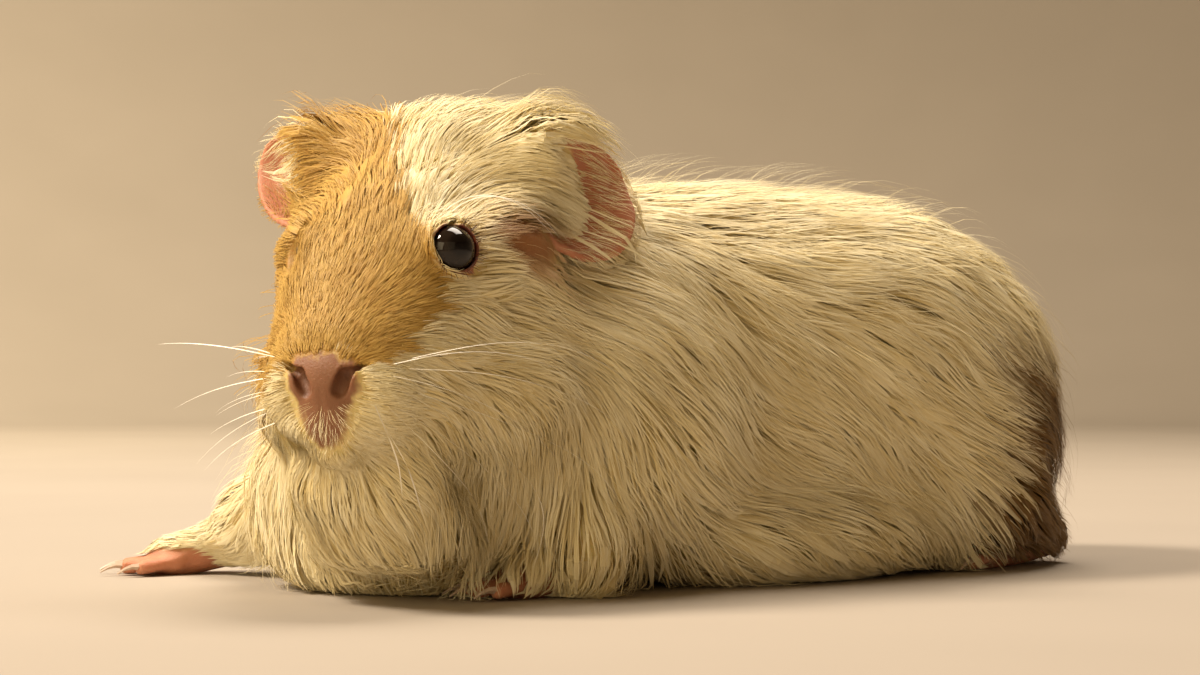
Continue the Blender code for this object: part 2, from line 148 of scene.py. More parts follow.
# How the coat lies: (place, lie, length, reach), in millimetres. The lie is projected on the skin, and each
# row counts within about its reach. Rows in the head's frame are mirrored unless they lie on its middle.
HEAD_COAT = (
    ((0, -49, 47), (0, 0.45, 0.9), 2.2, 4),
    ((0, -44, 54), (0, 0.6, 0.8), 3.5, 5),
    ((0, -36, 64), (0, 0.6, 0.8), 6, 6),
    ((0, -27, 74), (0, 0.6, 0.8), 9, 7),
    ((0, -15, 84), (0.15, 0.7, 0.6), 15, 8),
    ((0, -4, 90), (0.4, 0.85, 0.3), 19, 8),
    ((0, 10, 90), (0.15, 1, -0.1), 20, 10),
    ((0, 24, 82), (0, 1, -0.3), 22, 12),
    ((7, -46, 48), (0.25, 0.5, 0.8), 2.6, 4),
    ((9, -38, 57), (0.15, 0.5, 0.85), 5, 5),
    ((12, -34, 64), (0.05, 0.45, 0.9), 6, 4),
    ((11, -28, 72), (0.25, 0.6, 0.8), 10, 5),
    ((14, -22, 76), (0.65, 0.65, 0.4), 16, 5),
    ((20, -16, 76), (0.75, 0.65, -0.1), 20, 6),
    ((25, -9, 77), (0.6, 0.65, -0.45), 13, 6),
    ((12, -6, 88), (0.8, 0.55, 0.1), 24, 7),
    ((23, -1, 86), (0.75, 0.6, -0.3), 17, 6),
    ((24, 12, 82), (0.4, 0.8, -0.45), 18, 8),
    ((22, -18, 66), (0.45, 0.85, -0.15), 5, 5),
    ((27, -10, 62), (0.3, 0.9, -0.35), 7, 5),
    ((20, -22, 57), (0.4, 0.9, -0.05), 9, 4),
    ((17, -31, 55), (0.5, 0.85, 0.05), 7, 4),
    ((12, -39, 49), (0.7, 0.65, 0.25), 6, 5),
    ((9, -45, 43), (0.75, 0.6, 0.05), 4, 4),
    ((9.5, -44, 37), (0.75, 0.6, -0.15), 5, 4),
    ((16, -36, 42), (0.6, 0.75, -0.15), 12, 6),
    ((22, -26, 46), (0.4, 0.85, -0.25), 20, 7),
    ((28, -14, 48), (0.25, 0.85, -0.4), 26, 8),
    ((30, 0, 44), (0.15, 0.8, -0.6), 28, 9),
    ((28, -10, 34), (0.2, 0.7, -0.7), 26, 8),
    ((18, -30, 33), (0.45, 0.55, -0.7), 16, 7),
    ((6, -43, 30), (0.5, 0.5, -0.7), 3, 3.5),
    ((0, -44, 26), (0, 0.35, -0.95), 4, 4),
    ((8, -38, 25), (0.35, 0.4, -0.85), 9, 6),
    ((0, -30, 20), (0, 0.1, -1), 16, 8),
    ((27, 12, 34), (0.1, 0.75, -0.65), 26, 10),
)
# The same for the rest of the body, in the row's frame. Rows are mirrored unless they lie on its middle.
BODY_COAT = (
    ((0, -96, 16), (0, -0.1, -1), 20, 14),
    ((22, -84, 16), (0.15, -0.1, -1), 20, 14),
    ((34, -62, 24), (0.1, 0.3, -0.95), 24, 14),
    ((40, -40, 36), (0, 0.7, -0.7), 26, 14),
    ((38, -40, 60), (0.1, 0.85, -0.5), 26, 14),
    ((0, -20, 82), (0.1, 1, 0), 24, 18),
    ((0, 20, 84), (0, 1, 0), 24, 20),
    ((26, 0, 76), (0.2, 0.95, -0.25), 25, 18),
    ((44, 10, 45), (0, 0.85, -0.5), 26, 20),
    ((40, 0, 14), (0, 0.75, -0.65), 20, 14),
    ((44, 48, 40), (0, 0.75, -0.65), 24, 20),
    ((36, 62, 12), (0.05, 0.6, -0.8), 16, 14),
    ((0, 60, 78), (0, 0.95, -0.3), 24, 20),
    ((0, 86, 50), (0, 0.3, -0.95), 20, 18),
    ((0, 86, 15), (0, 0.2, -1), 14, 14),
)
# Nearly bare places that the mirrored rows don't give: the right wrist, the left wrist and the two heels.
LIMB_COAT = (
    ((-51, -83, 9), (-0.6, -0.8, -0.3), 5, 9),
    ((-40, -74, 16), (-0.7, -0.6, -0.5), 9, 9),
    ((31, -58, 7), (0, -0.6, -0.8), 7, 7),
    ((25, 72, 6), (0, 0.3, -1), 6, 7),
    ((-25, 72, 6), (0, 0.3, -1), 6, 7),
)


# --- frames and small maths ---


def turn(yaw):
    c, s = math.cos(yaw), math.sin(yaw)
    return np.array(((c, -s, 0), (s, c, 0), (0, 0, 1)))


HEAD_TURN = turn(HEAD_YAW)


def to_head(points):
    return (points - HEAD_PLACE) @ HEAD_TURN


def from_head(points):
    return np.asarray(points) @ HEAD_TURN.T + HEAD_PLACE


def mirrored(place, side):
    """A place or way given for the left: itself for side 1, and its mirror image for side -1."""
    return np.array(place) * (side, 1, 1)


def unit(vectors):
    return vectors / np.maximum(np.linalg.norm(vectors, axis=-1, keepdims=True), 1e-9)


def ramp(values, low, high):
    """0 at low, 1 at high, and smooth between them."""
    t = np.clip((values - low) / (high - low), 0, 1)
    return t * t * (3 - 2 * t)


def soft_min(a, b, blend):
    h = np.clip(0.5 + 0.5 * (b - a) / blend, 0, 1)
    return b * (1 - h) + a * h - blend * h * (1 - h)


def soft_max(a, b, blend):
    return -soft_min(-a, -b, blend)


def ellipsoid(points, centre, radii):
    """About the distance to an ellipsoid, in the units of the points."""
    scaled = (points - centre) / radii
    length = np.linalg.norm(scaled, axis=-1)
    return (length - 1) * np.min(radii) * (0.5 + 0.5 * length / (length + 0.3))


def capsule(points, start, end, radius):
    along = np.asarray(end) - start
    t = np.clip(((points - start) @ along) / (along @ along), 0, 1)
    return np.linalg.norm(points - start - t[..., None] * along, axis=-1) - radius


def waves(points, size, seed, count=7):
    """A smooth random function of place, about -1 to 1, with bumps about so large."""
    rng = np.random.default_rng(seed)
    total = np.zeros(points.shape[:-1])
    for _ in range(count):
        direction = unit(rng.normal(size=3))
        wave = 2 * math.pi / (size * rng.uniform(0.7, 1.6))
        total += np.sin(points @ direction * wave + rng.uniform(0, 2 * math.pi))
    return total / math.sqrt(count / 2) * 0.7


# --- distance fields ---


class Field:
    """A signed distance on a grid over the whole animal, negative inside, in metres."""

    low = np.array(CAD_BOX[0]) - MARGIN
    high = np.array(CAD_BOX[1]) + MARGIN
    shape = tuple(int(n) for n in np.ceil((high - low) / PITCH))

    def __init__(self, values):
        self.values = values

    @classmethod
    def of_mesh(cls, points, triangles, band):
        steps = band / PITCH
        places = ((points - cls.low) / PITCH).astype(np.float32)
        faces = np.ascontiguousarray(triangles, dtype=np.uint32)
        grid = openvdb.FloatGrid.createLevelSetFromPolygons(places, triangles=faces, halfWidth=steps)
        values = np.empty(cls.shape, np.float32)
        grid.copyToArray(values)
        return cls(values * np.float32(PITCH))

    def surface(self, level=0.0):
        grid = openvdb.FloatGrid(float(BAND))
        grid.copyFromArray(self.values)
        points, quads = grid.convertToQuads(level)
        return points * PITCH + self.low, quads.astype(np.int64)

    def sample(self, points):
        place = (points - self.low) / PITCH
        place = np.clip(place, 0, np.array(self.shape) - 1.001)
        cell = place.astype(np.int32)
        f = (place - cell).astype(np.float32)
        x, y, z = cell[..., 0], cell[..., 1], cell[..., 2]
        total = 0
        for i in (0, 1):
            for j in (0, 1):
                for k in (0, 1):
                    shares = np.abs(np.array((1 - i, 1 - j, 1 - k), np.float32) - f)
                    weight = shares[..., 0] * shares[..., 1] * shares[..., 2]
                    total = total + weight * self.values[x + i, y + j, z + k]
        return total

    def normal(self, points, step=1.2 * MM):
        parts = []
        for axis in np.eye(3) * step:
            parts.append(self.sample(points + axis) - self.sample(points - axis))
        return unit(np.stack(parts, axis=-1))


def blurred(values, passes=2):
    """Each pass averages every cell with its neighbours along each axis in turn."""
    for _ in range(passes):
        for axis in range(3):
            values = 0.5 * values + 0.25 * (np.roll(values, 1, axis) + np.roll(values, -1, axis))
    return values


def spread_out(coarse, fine_shape):
    """A coarse grid's values, interpolated to a finer grid over the same box."""
    for axis, count in enumerate(fine_shape):
        size = coarse.shape[axis]
        place = np.linspace(0, size - 1.001, count)
        cell = place.astype(int)
        part = (place - cell).astype(np.float32)
        shape = [1, 1, 1]
        shape[axis] = count
        part = part.reshape(shape)
        coarse = np.take(coarse, cell, axis) * (1 - part) + np.take(coarse, cell + 1, axis) * part
    return coarse


def rows_of(items, key, kind, width):
    """A value of each item of a mesh, as rows of so many numbers."""
    values = np.empty(len(items) * width, kind)
    items.foreach_get(key, values)
    return values.reshape(-1, width)


def mesh_arrays(obj):
    """An object's points and triangles."""
    mesh = obj.data
    mesh.calc_loop_triangles()
    points = rows_of(mesh.vertices, "co", np.float32, 3)
    return points, rows_of(mesh.loop_triangles, "vertices", np.int32, 3)


def largest_part(points, faces):
    """The points and faces of the largest connected part."""
    label = np.arange(len(points))
    edges = np.concatenate([faces[:, (i, (i + 1) % faces.shape[1])] for i in range(faces.shape[1])])
    while True:
        lowest = np.minimum(label[edges[:, 0]], label[edges[:, 1]])
        new = label.copy()
        np.minimum.at(new, edges[:, 0], lowest)
        np.minimum.at(new, edges[:, 1], lowest)
        new = new[new]
        if np.array_equal(new, label):
            break
        label = new
    counts = np.bincount(label[faces[:, 0]])
    keep_faces = faces[label[faces[:, 0]] == np.argmax(counts)]
    used = np.unique(keep_faces)
    place = np.full(len(points), -1)
    place[used] = np.arange(len(used))
    return points[used], place[keep_faces]


def halved(quads):
    return np.concatenate((quads[:, (0, 1, 2)], quads[:, (0, 2, 3)]))


def union_of(meshes):
    """The values of one field for several meshes, each given by its points and triangles."""
    union = None
    for points, triangles in meshes:
        found = Field.of_mesh(points, triangles, SOLID_BAND).values
        union = found if union is None else np.minimum(union, found)
    return union


def foot_boxes():
    """The low and the high corner of each foot's solid."""
    return [np.array(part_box(name)) for name in FEET]


def solids_called(names):
    return (mesh_arrays(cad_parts[name]) for name in names)


# --- the lie of the coat ---


def coat_rows():
    """Every row of the coat's tables in the row's frame, both sides: places, lies, lengths and reaches."""
    rows = []
    for table, turned in ((HEAD_COAT, True), (BODY_COAT, False)):
        for place, lie, length, reach in table:
            for side in (1, -1) if place[0] else (1,):
                where, way = mirrored(place, side) * MM, mirrored(lie, side)
                if turned:
                    where, way = from_head(where), HEAD_TURN @ way
                rows.append((*where, *unit(way), length * MM, reach * MM))
    for place, lie, length, reach in LIMB_COAT:
        rows.append((*(np.array(place) * MM), *unit(np.array(lie, float)), length * MM, reach * MM))
    return np.array(rows)


COAT_ROWS = coat_rows()


def coat_at(points):
    """The lie and the length of the coat near each point, from the rows around it."""
    lie = np.zeros(points.shape)
    length = np.zeros(points.shape[:-1])
    total = np.full(points.shape[:-1], 1e-12)
    for row in COAT_ROWS:
        apart = np.linalg.norm(points - row[:3], axis=-1) / row[7]
        weight = np.exp(-apart * apart) + 1e-4 / (1 + apart**4)
        lie += weight[..., None] * row[3:6]
        length += weight * row[6]
        total += weight
    return unit(lie), length / total


def coat_depth(points):
    """How far the skin lies inside the tips of the coat."""
    _, length = coat_at(points)
    depth = np.clip(0.24 * length, 0.3 * MM, 5.6 * MM)
    return depth * (0.25 + 0.75 * ramp(points[..., 2], 0, 14 * MM))


# --- the skin ---


def closed_solids():
    """The solids of the flesh as one field: the thin gaps between them are closed."""
    names = [name for name in (*FLESH, "eye_left", "eye_right") if name not in EARS]
    union = union_of(solids_called(names))
    points, quads = largest_part(*Field(union).surface(GAP_CLOSING))
    field = Field.of_mesh(points, halved(quads), 9 * MM)
    field.values += np.float32(GAP_CLOSING)
    return field


class Eye:
    """An eye in the head's frame, in millimetres: its middle, its way of looking, its corners' line."""

    def __init__(self, name, side, place, axis):
        forward = unit(np.array(axis))
        back = unit(np.cross((0, 0, 1), forward))
        up = np.cross(forward, back)
        c, s = math.cos(OPENING_TILT), math.sin(OPENING_TILT)
        self.name = name
        self.centre = mirrored(place, side)
        self.axis = mirrored(forward, side)
        self.corner = mirrored(back * c + up * s, side)
        self.top = mirrored(up * c - back * s, side)

    def opening(self, p):
        """How far points are outside the opening between the lids, seen along the axis."""
        away = p - self.centre
        length, height = OPENING
        return (np.hypot(away @ self.corner / length, away @ self.top / height) - 1) * height

    def reach(self, p):
        """The distance from the eyeball."""
        return np.linalg.norm(p - self.centre, axis=-1) - EYE_RADIUS

    def front(self, p):
        return (p - self.centre) @ self.axis


EYES = [Eye(*row) for row in EYE_PLACES]


def with_face(distance, points):
    """The head's distance with its nose, lips and eyelids, at points in the row's frame."""
    p = to_head(points) / MM
    d = with_muzzle(distance / MM, p)
    for eye in EYES:
        d = with_lids(d, p, eye)
    return d * MM


def with_muzzle(d, p):
    """The head with its nose leather, nostrils, cleft lips, chin and throat, in its millimetres."""
    d = soft_min(d, ellipsoid(p, (0, -46.2, 40.6), (6.6, 3.6, 4.2)), 2.0)
    d = soft_min(d, ellipsoid(p, (0, -45.6, 36.4), (3.6, 3.4, 4.5)), 2.0)
    for side in (1, -1):
        d = soft_min(d, ellipsoid(p, mirrored((4.6, -46.6, 40.6), side), (2.7, 2.5, 3.0)), 1.4)
        d = soft_min(d, ellipsoid(p, mirrored((2.4, -45.2, 33.2), side), (3.6, 3.0, 4.4)), 2.0)
        for start, end, radius in NOSTRIL:
            d = soft_max(d, -capsule(p, mirrored(start, side), mirrored(end, side), radius), 0.6)
    d = soft_min(d, ellipsoid(p, (0, -43.6, 28.2), (4.0, 3.2, 2.5)), 1.0)
    d = soft_min(d, capsule(p * (0.5, 1, 1), *THROAT), 8.0)
    return soft_max(d, -capsule(p, *CLEFT), 0.9)


def with_lids(d, p, eye):
    """The head's surface sinks to the lids round the eye, which leave an oval opening."""
    reach = eye.reach(p)
    front = eye.front(p)
    sink = (1 - ramp(reach, 0.8, 3.6)) * ramp(front, 0, 2)
    d = d * (1 - sink) + (reach - LID) * sink
    d = soft_min(d, reach - LID, 0.8)
    opening = np.maximum(eye.opening(p), 0.8 - front)
    d = soft_max(d, -opening, 0.5)
    return np.maximum(d, 0.05 - reach)


def smooth_curve(rows, per_span):
    """Points on a smooth curve through the rows, with so many steps between each two."""
    rows = np.array(rows, float)
    ends = np.concatenate((2 * rows[:1] - rows[1:2], rows, 2 * rows[-1:] - rows[-2:-1]))
    found = []
    for a, b, c, d in zip(ends, ends[1:], ends[2:], ends[3:]):
        for t in np.arange(per_span) / per_span:
            cubic = (2 * a - 5 * b + 4 * c - d) * t**2 + (3 * b - a - 3 * c + d) * t**3
            found.append(0.5 * (2 * b + (c - a) * t + cubic))
    return np.array([*found, rows[-1]])


def ear_sheet(side, shares):
    """Rows of points at shares of the way from root to rim; below 0 they lie inside the head."""
    root = smooth_curve(EAR_ROOT, 8)
    rim = smooth_curve(RIM_LEFT if side == 1 else RIM_RIGHT, 8)
    around = math.pi * np.linspace(0, 1, len(rim))
    rows = []
    for t in shares:
        points = root + (rim - root) * max(t, 0) + (np.array(EAR_CORE) - root) * max(-t, 0)
        up = max(t, 0)
        curl = 1.2 * ramp(np.array(up), 0.75, 1.0) * np.sin(around)
        points[:, 1] += EAR_CUP * math.sin(math.pi * up) * np.sin(around) - curl
        rows.append(points * (side, 1, 1))
    return from_head(np.array(rows) * MM)


def thickened(rows, half):
    """A closed mesh round a sheet of points, with a half thickness for each row: points and triangles."""
    count, width = rows.shape[:2]
    across = np.gradient(rows, axis=1)
    along = np.gradient(rows, axis=0)
    offset = unit(np.cross(across, along)) * half[:, None, None]
    points = np.concatenate(((rows + offset).reshape(-1, 3), (rows - offset).reshape(-1, 3)))
    index = np.arange(count * width).reshape(count, width)
    top = np.stack((index[:-1, :-1], index[:-1, 1:], index[1:, 1:], index[1:, :-1]), axis=-1).reshape(-1, 4)
    loop = np.concatenate((index[0, :-1], index[:-1, -1], index[-1, :0:-1], index[:0:-1, 0]))
    other = np.roll(loop, -1)
    far = count * width
    side = np.stack((other, loop, loop + far, other + far), axis=-1)
    quads = np.concatenate((top, top[:, ::-1] + far, side))
    return points, halved(quads)


def ear_field(shares, thickness):
    """The ears as one field, over a range of shares of the way from root to rim."""
    return Field(union_of(thickened(ear_sheet(side, shares), thickness * MM) for side in (1, -1)))


def whole_ears():
    shares = np.array((-0.75, -0.5, -0.25, 0, 0.1, 0.2, 0.3, 0.4, 0.5, 0.6, 0.7, 0.8, 0.88, 0.95, 1.0))
    thickness = np.interp(shares, (-0.75, 0, 0.3, 0.8, 1.0), (3.0, 1.6, 1.0, 0.75, 0.6))
    return ear_field(shares, thickness)


def ear_petals(inner):
    """The outer part of the ears, from this share of the way to the rim."""
    shares = np.linspace(inner, 1, 9)
    return ear_field(shares, np.full(9, 0.8))


def skin_field(solids):
    """The solids, pulled in by the coat's depth and smoothed: with a face, and without."""
    coarse_step = 4 * MM
    counts = [int(n * PITCH / coarse_step) + 2 for n in Field.shape]
    spans = [np.linspace(low, low + (n - 1) * PITCH, c) for low, n, c in zip(Field.low, Field.shape, counts)]
    places = np.stack(np.meshgrid(*spans, indexing="ij"), axis=-1)
    depth = spread_out(coat_depth(places).astype(np.float32), Field.shape)
    values = blurred(solids.values + depth, 3)
    middle, half = FACE_BOX
    low = np.floor((from_head(np.array(middle) * MM) - half * MM - Field.low) / PITCH).astype(int)
    low = np.maximum(low, 0)
    high = np.minimum(low + int(2 * half * MM / PITCH), Field.shape)
    box = tuple(slice(a, b) for a, b in zip(low, high))
    axes = [Field.low[i] + np.arange(low[i], high[i]) * PITCH for i in range(3)]
    near = np.stack(np.meshgrid(*axes, indexing="ij"), axis=-1)
    plain = Field(values.copy())
    values[box] = with_face(values[box], near)
    return Field(values), plain


def new_object(name, mesh):
    made = bpy.data.objects.new(name, mesh)
    bpy.context.scene.collection.objects.link(made)
    return made


def mesh_from(name, points, faces):
    """A mesh from arrays, every face with the same number of corners."""
    mesh = bpy.data.meshes.new(name)
    corners = faces.shape[1]
    mesh.vertices.add(len(points))
    mesh.vertices.foreach_set("co", np.ascontiguousarray(points, np.float32).ravel())
    mesh.loops.add(faces.size)
    mesh.loops.foreach_set("vertex_index", np.ascontiguousarray(faces, np.int32).ravel())
    mesh.polygons.add(len(faces))
    mesh.polygons.foreach_set("loop_start", np.arange(0, faces.size, corners, dtype=np.int32))
    mesh.update(calc_edges=True)
    mesh.validate()
    mesh.shade_smooth()
    return mesh


def finish_piece(piece, material):
    piece.data.materials.append(material)
    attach(piece, "root")


def set_attribute(mesh, name, values):
    attribute = mesh.attributes.new(name, "FLOAT", "POINT")
    attribute.data.foreach_set("value", np.ascontiguousarray(values, np.float32))


def vertex_places(mesh):
    return rows_of(mesh.vertices, "co", np.float32, 3).astype(float)


def detail_weight(points):
    """1 where the skin needs small faces: the face, the ears and the feet."""
    p = to_head(points) / MM
    found = 1 - ramp(np.linalg.norm(p - (0, -38, 46), axis=-1), 14, 34)
    for eye in EYES:
        found = np.maximum(found, 1 - ramp(eye.reach(p), 3, 10))
        ear = np.linalg.norm((p - np.array((29 * np.sign(eye.centre[0]), 0, 76))) / (1, 1.3, 1.4), axis=-1)
        found = np.maximum(found, 1 - ramp(ear, 12, 16))
    for low, high in foot_boxes():
        outside = np.maximum(np.maximum(low - points, points - high), 0)
        found = np.maximum(found, 1 - ramp(np.linalg.norm(outside, axis=-1), 0, 3 * MM))
    return found


def make_skin(solids):
    """The skin over the solids, with its feet and ears."""
    field, plain = skin_field(solids)
    feet = union_of(solids_called(FEET))
    values = soft_min(field.values, blurred(feet, 1) - 0.1 * MM, 1.0 * MM)
    values = soft_min(values, whole_ears().values, 1.6 * MM)
    points, quads = largest_part(*Field(values.astype(np.float32)).surface())
    skin = new_object("skin", mesh_from("skin", points, quads))
    group = skin.vertex_groups.new(name="detail")
    weights = 1 - detail_weight(vertex_places(skin.data))
    for level in range(11):
        members = np.nonzero(np.round(weights * 10) == level)[0]
        group.add(members.tolist(), level / 10, "REPLACE")
    thin = skin.modifiers.new("thin_out", "DECIMATE")
    thin.ratio = min(1.0, SKIN_TRIANGLES / (2 * len(quads)))
    thin.vertex_group = "detail"
    thin.vertex_group_factor = 0.6
    apply_modifiers(skin)
    skin.vertex_groups.clear()
    refine_face(skin, plain)
    return skin


def apply_modifiers(obj):
    graph = bpy.context.evaluated_depsgraph_get()
    mesh = bpy.data.meshes.new_from_object(obj.evaluated_get(graph))
    obj.modifiers.clear()
    obj.data = mesh


def near_features(points):
    """True at the nose, the lips and the eyelids."""
    p = to_head(points) / MM
    near = np.linalg.norm((p - (0, -48, 37)) / (1, 1, 1.3), axis=-1) < 9
    for eye in EYES:
        near |= np.linalg.norm(p - (eye.centre + eye.axis * 3), axis=-1) < 7
    return near


def refine_face(skin, field):
    """Smaller faces at the nose, lips and eyelids, moved onto the exact shape there."""
    bm = bmesh.new()
    bm.from_mesh(skin.data)
    bmesh.ops.triangulate(bm, faces=bm.faces)
    for _ in range(2):
        points = np.array([vert.co for vert in bm.verts])
        near = near_features(points)
        bm.verts.index_update()
        edges = [
            edge
            for edge in bm.edges
            if all(near[vert.index] for vert in edge.verts) and edge.calc_length() > 0.35 * MM
        ]
        bmesh.ops.subdivide_edges(bm, edges=edges, cuts=1)
        bmesh.ops.triangulate(bm, faces=[face for face in bm.faces if len(face.verts) > 3])
    bm.to_mesh(skin.data)
    bm.free()
    points = vertex_places(skin.data)
    near = near_features(points)
    moved = points[near]
    step = 0.15 * MM
    for _ in range(4):
        here = with_face(field.sample(moved), moved)
        slopes = [(with_face(field.sample(moved + a), moved + a) - here) / step for a in np.eye(3) * step]
        slope = np.stack(slopes, axis=-1)
        size = np.maximum(np.sum(slope * slope, axis=-1), 0.3)
        moved -= np.clip(here / size, -0.4 * MM, 0.4 * MM)[:, None] * slope * 0.8
    points[near] = moved
    skin.data.vertices.foreach_set("co", points.astype(np.float32).ravel())
    skin.data.update()
    skin.data.shade_smooth()


# --- markings ---


def markings(points):
    """How ginger, how brown and how thinly haired the coat is at each place on the skin, from 0 to 1."""
    p = to_head(points) / MM
    ragged = waves(points, 6 * MM, 11) * 1.3 + waves(points, 2.2 * MM, 12) * 0.6
    edge = np.interp(p[..., 2], GINGER_HEIGHTS, GINGER_EDGE)
    ginger = ramp(edge + ragged - p[..., 0], -1.0, 1.4)
    ginger *= np.maximum(1 - ramp(p[..., 2] + ragged, 74, 80), ramp(p[..., 0] + ragged, -21, -17))
    ginger *= ramp(p[..., 2] + ragged * 1.5, 36, 45) * (1 - ramp(p[..., 1] + ragged * 2, -4, 8))
    low = ramp(54 - points[..., 2] / MM + ragged * 3, -6, 12)
    brown = low * ramp(points[..., 1] / MM + ragged * 3, 30, 44)
    middle, radii = THIN_PATCH
    patch = np.linalg.norm((p - middle) / radii, axis=-1)
    thin = 1 - ramp(patch + ragged * 0.08, 0.5, 1.15)
    return ginger, brown, thin


def muzzle_edge(p):
    """How far points are outside the bare nose and lips, in millimetres: negative within them."""
    ragged = waves(p, 3.0, 31) * 0.4 + waves(p, 1.1, 32) * 0.25
    ragged *= np.interp(p[..., 2], (36, 39, 42, 44), (1, 0.4, 0.9, 2.2))
    inside = np.abs(p[..., 0]) - np.interp(p[..., 2], MUZZLE_HEIGHTS, MUZZLE_WIDTHS)
    outside_heights = np.maximum(MUZZLE_HEIGHTS[0] - p[..., 2], p[..., 2] - MUZZLE_HEIGHTS[-1])
    return np.maximum(np.maximum(inside, outside_heights), (p[..., 1] + 42) * 2) + ragged


def bare_places(points, ears):
    """How bare the skin is: the nose and lips, the lids' edges, the ears and the feet."""
    p = to_head(points) / MM
    softness = np.interp(p[..., 2], (34, 37, 41, 44), (1, 0, 0, 1))
    bare = 1 - ramp(muzzle_edge(p), -0.8 - 0.9 * softness, 0.5 + 0.4 * softness)
    for eye in EYES:
        below = np.maximum(unit(p - eye.centre) @ unit(eye.corner - eye.top), 0)
        lids = 1 - ramp(eye.opening(p) - 1.1 * below, 0.2, 0.7)
        bare = np.maximum(bare, lids * (1 - ramp(eye.reach(p), 1.5, 2.5)) * (eye.front(p) > 0))
    bare = np.maximum(bare, 1 - ramp(ears.sample(points), 0.2 * MM, 0.8 * MM))
    for low, high in foot_boxes():
        inside = np.min(np.minimum(points - low, high - points) + 0.6 * MM, axis=-1)
        height = 1 - ramp(points[..., 2], 4.5 * MM, 7 * MM)
        bare = np.maximum(bare, ramp(inside, -0.3 * MM, 0.6 * MM) * height)
    return bare


def dark_places(points):
    """1 at the dark brown rims of the lids, and painted shade inside the nostrils and the cleft of the mouth.
    """
    p = to_head(points) / MM
    dark = np.zeros(points.shape[:-1])
    for eye in EYES:
        rim = (1 - ramp(eye.opening(p), 0.2, 0.9)) * (eye.reach(p) < 2) * (eye.front(p) > 0)
        dark = np.maximum(dark, 0.9 * rim)
    # Painted shade in the hollows of the nostrils and the cleft of the lips.
    for side in (1, -1):
        for start, end, radius in NOSTRIL:
            near = capsule(p, mirrored(start, side), mirrored(end, side), radius)
            dark = np.maximum(dark, 0.95 * (1 - ramp(near, -0.7, 0.5)))
    return np.maximum(dark, 0.6 * (1 - ramp(capsule(p, *CLEFT), -0.2, 0.5)))


# --- materials ---


class Nodes:
    """A material's node tree, with short calls for its nodes."""

    def __init__(self, name):
        self.material = bpy.data.materials.new(name)
        self.material.use_nodes = True
        self.tree = self.material.node_tree
        self.shader = self.tree.nodes["Principled BSDF"]

    def add(self, kind, **settings):
        node = self.tree.nodes.new(kind)
        for key, value in settings.items():
            setattr(node, key, value)
        return node

    def link(self, source, target):
        if isinstance(source, (int, float)):
            target.default_value = source
        elif isinstance(source, tuple):
            target.default_value = (*source, 1)[: len(target.default_value)]
        else:
            self.tree.links.new(source, target)

    def attribute(self, name):
        return self.add("ShaderNodeAttribute", attribute_name=name).outputs["Fac"]

    def place(self):
        return self.add("ShaderNodeTexCoord").outputs["Object"]

    def noise(self, scale, detail=3.0, roughness=0.6):
        node = self.add("ShaderNodeTexNoise")
        node.inputs["Scale"].default_value = scale
        node.inputs["Detail"].default_value = detail
        node.inputs["Roughness"].default_value = roughness
        self.link(self.place(), node.inputs["Vector"])
        return node.outputs["Fac"]

    def maths(self, operation, a, b=0.0, clamp=False):
        node = self.add("ShaderNodeMath", operation=operation, use_clamp=clamp)
        self.link(a, node.inputs[0])
        self.link(b, node.inputs[1])
        return node.outputs[0]

    def scaled(self, value, gain, base):
        """The value times the gain, plus the base."""
        result = self.maths("MULTIPLY_ADD", value, gain)
        result.node.inputs[2].default_value = base
        return result

    def mix(self, factor, a, b):
        node = self.add("ShaderNodeMix", data_type="RGBA")
        self.link(factor, node.inputs["Factor"])
        self.link(a, node.inputs[6])
        self.link(b, node.inputs[7])
        return node.outputs[2]

    def bump(self, height, strength, distance):
        node = self.add("ShaderNodeBump")
        node.inputs["Strength"].default_value = strength
        node.inputs["Distance"].default_value = distance
        self.link(height, node.inputs["Height"])
        self.link(node.outputs["Normal"], self.shader.inputs["Normal"])

    def finish(self, colour, roughness, specular=0.4):
        self.link(colour, self.shader.inputs["Base Color"])
        self.link(roughness, self.shader.inputs["Roughness"])
        self.shader.inputs["Specular IOR Level"].default_value = specular
        return self.material


# Each part of the coat has a deep and a light tone, and so have the skin and the smaller pieces. The coat's
# deep tones are partly painted shade: besides varying at random, they darken the tufts' roots and the skin
# under the coat like the golden shade deep in a coat.
COAT_TONES = {
    "white": ((0.70, 0.52, 0.14), (0.97, 0.90, 0.65)),
    "ginger": ((0.39, 0.19, 0.028), (0.64, 0.42, 0.108)),
    "brown": ((0.065, 0.03, 0.008), (0.24, 0.13, 0.03)),
    "thin": ((0.26, 0.10, 0.03), (0.48, 0.24, 0.09)),
}
PINK = ((0.50, 0.18, 0.09), (0.70, 0.34, 0.21))
NOSE = ((0.23, 0.095, 0.045), (0.34, 0.16, 0.08))
# The lids' rims are dark brown skin; the same colour is painted shade in the nostrils and the cleft of the
# lips.
LID_RIM_BROWN_AND_HOLLOW_SHADE = (0.10, 0.035, 0.02)
EYE = ((0.003, 0.002, 0.002), (0.014, 0.009, 0.006))
IRIS_FLECK = (0.03, 0.015, 0.010)
CLAW = ((0.50, 0.34, 0.25), (0.82, 0.68, 0.54))
FLOOR = ((0.38, 0.33, 0.27), (0.43, 0.375, 0.31))
# Whiskers and lashes have one tone at the root and another at the tip.
WHISKER = ((0.95, 0.88, 0.70), (1.0, 0.96, 0.86))
LASH = ((0.05, 0.02, 0.01), (0.16, 0.07, 0.03))


def coat_colour(nodes, variation):
    """The coat's colour from its markings; the variation runs from the deep to the light tone of each."""
    colour, *over = (nodes.mix(variation, *tones) for tones in COAT_TONES.values())
    for marking, tone in zip(MARKINGS, over):
        colour = nodes.mix(nodes.attribute(marking), colour, tone)
    return colour


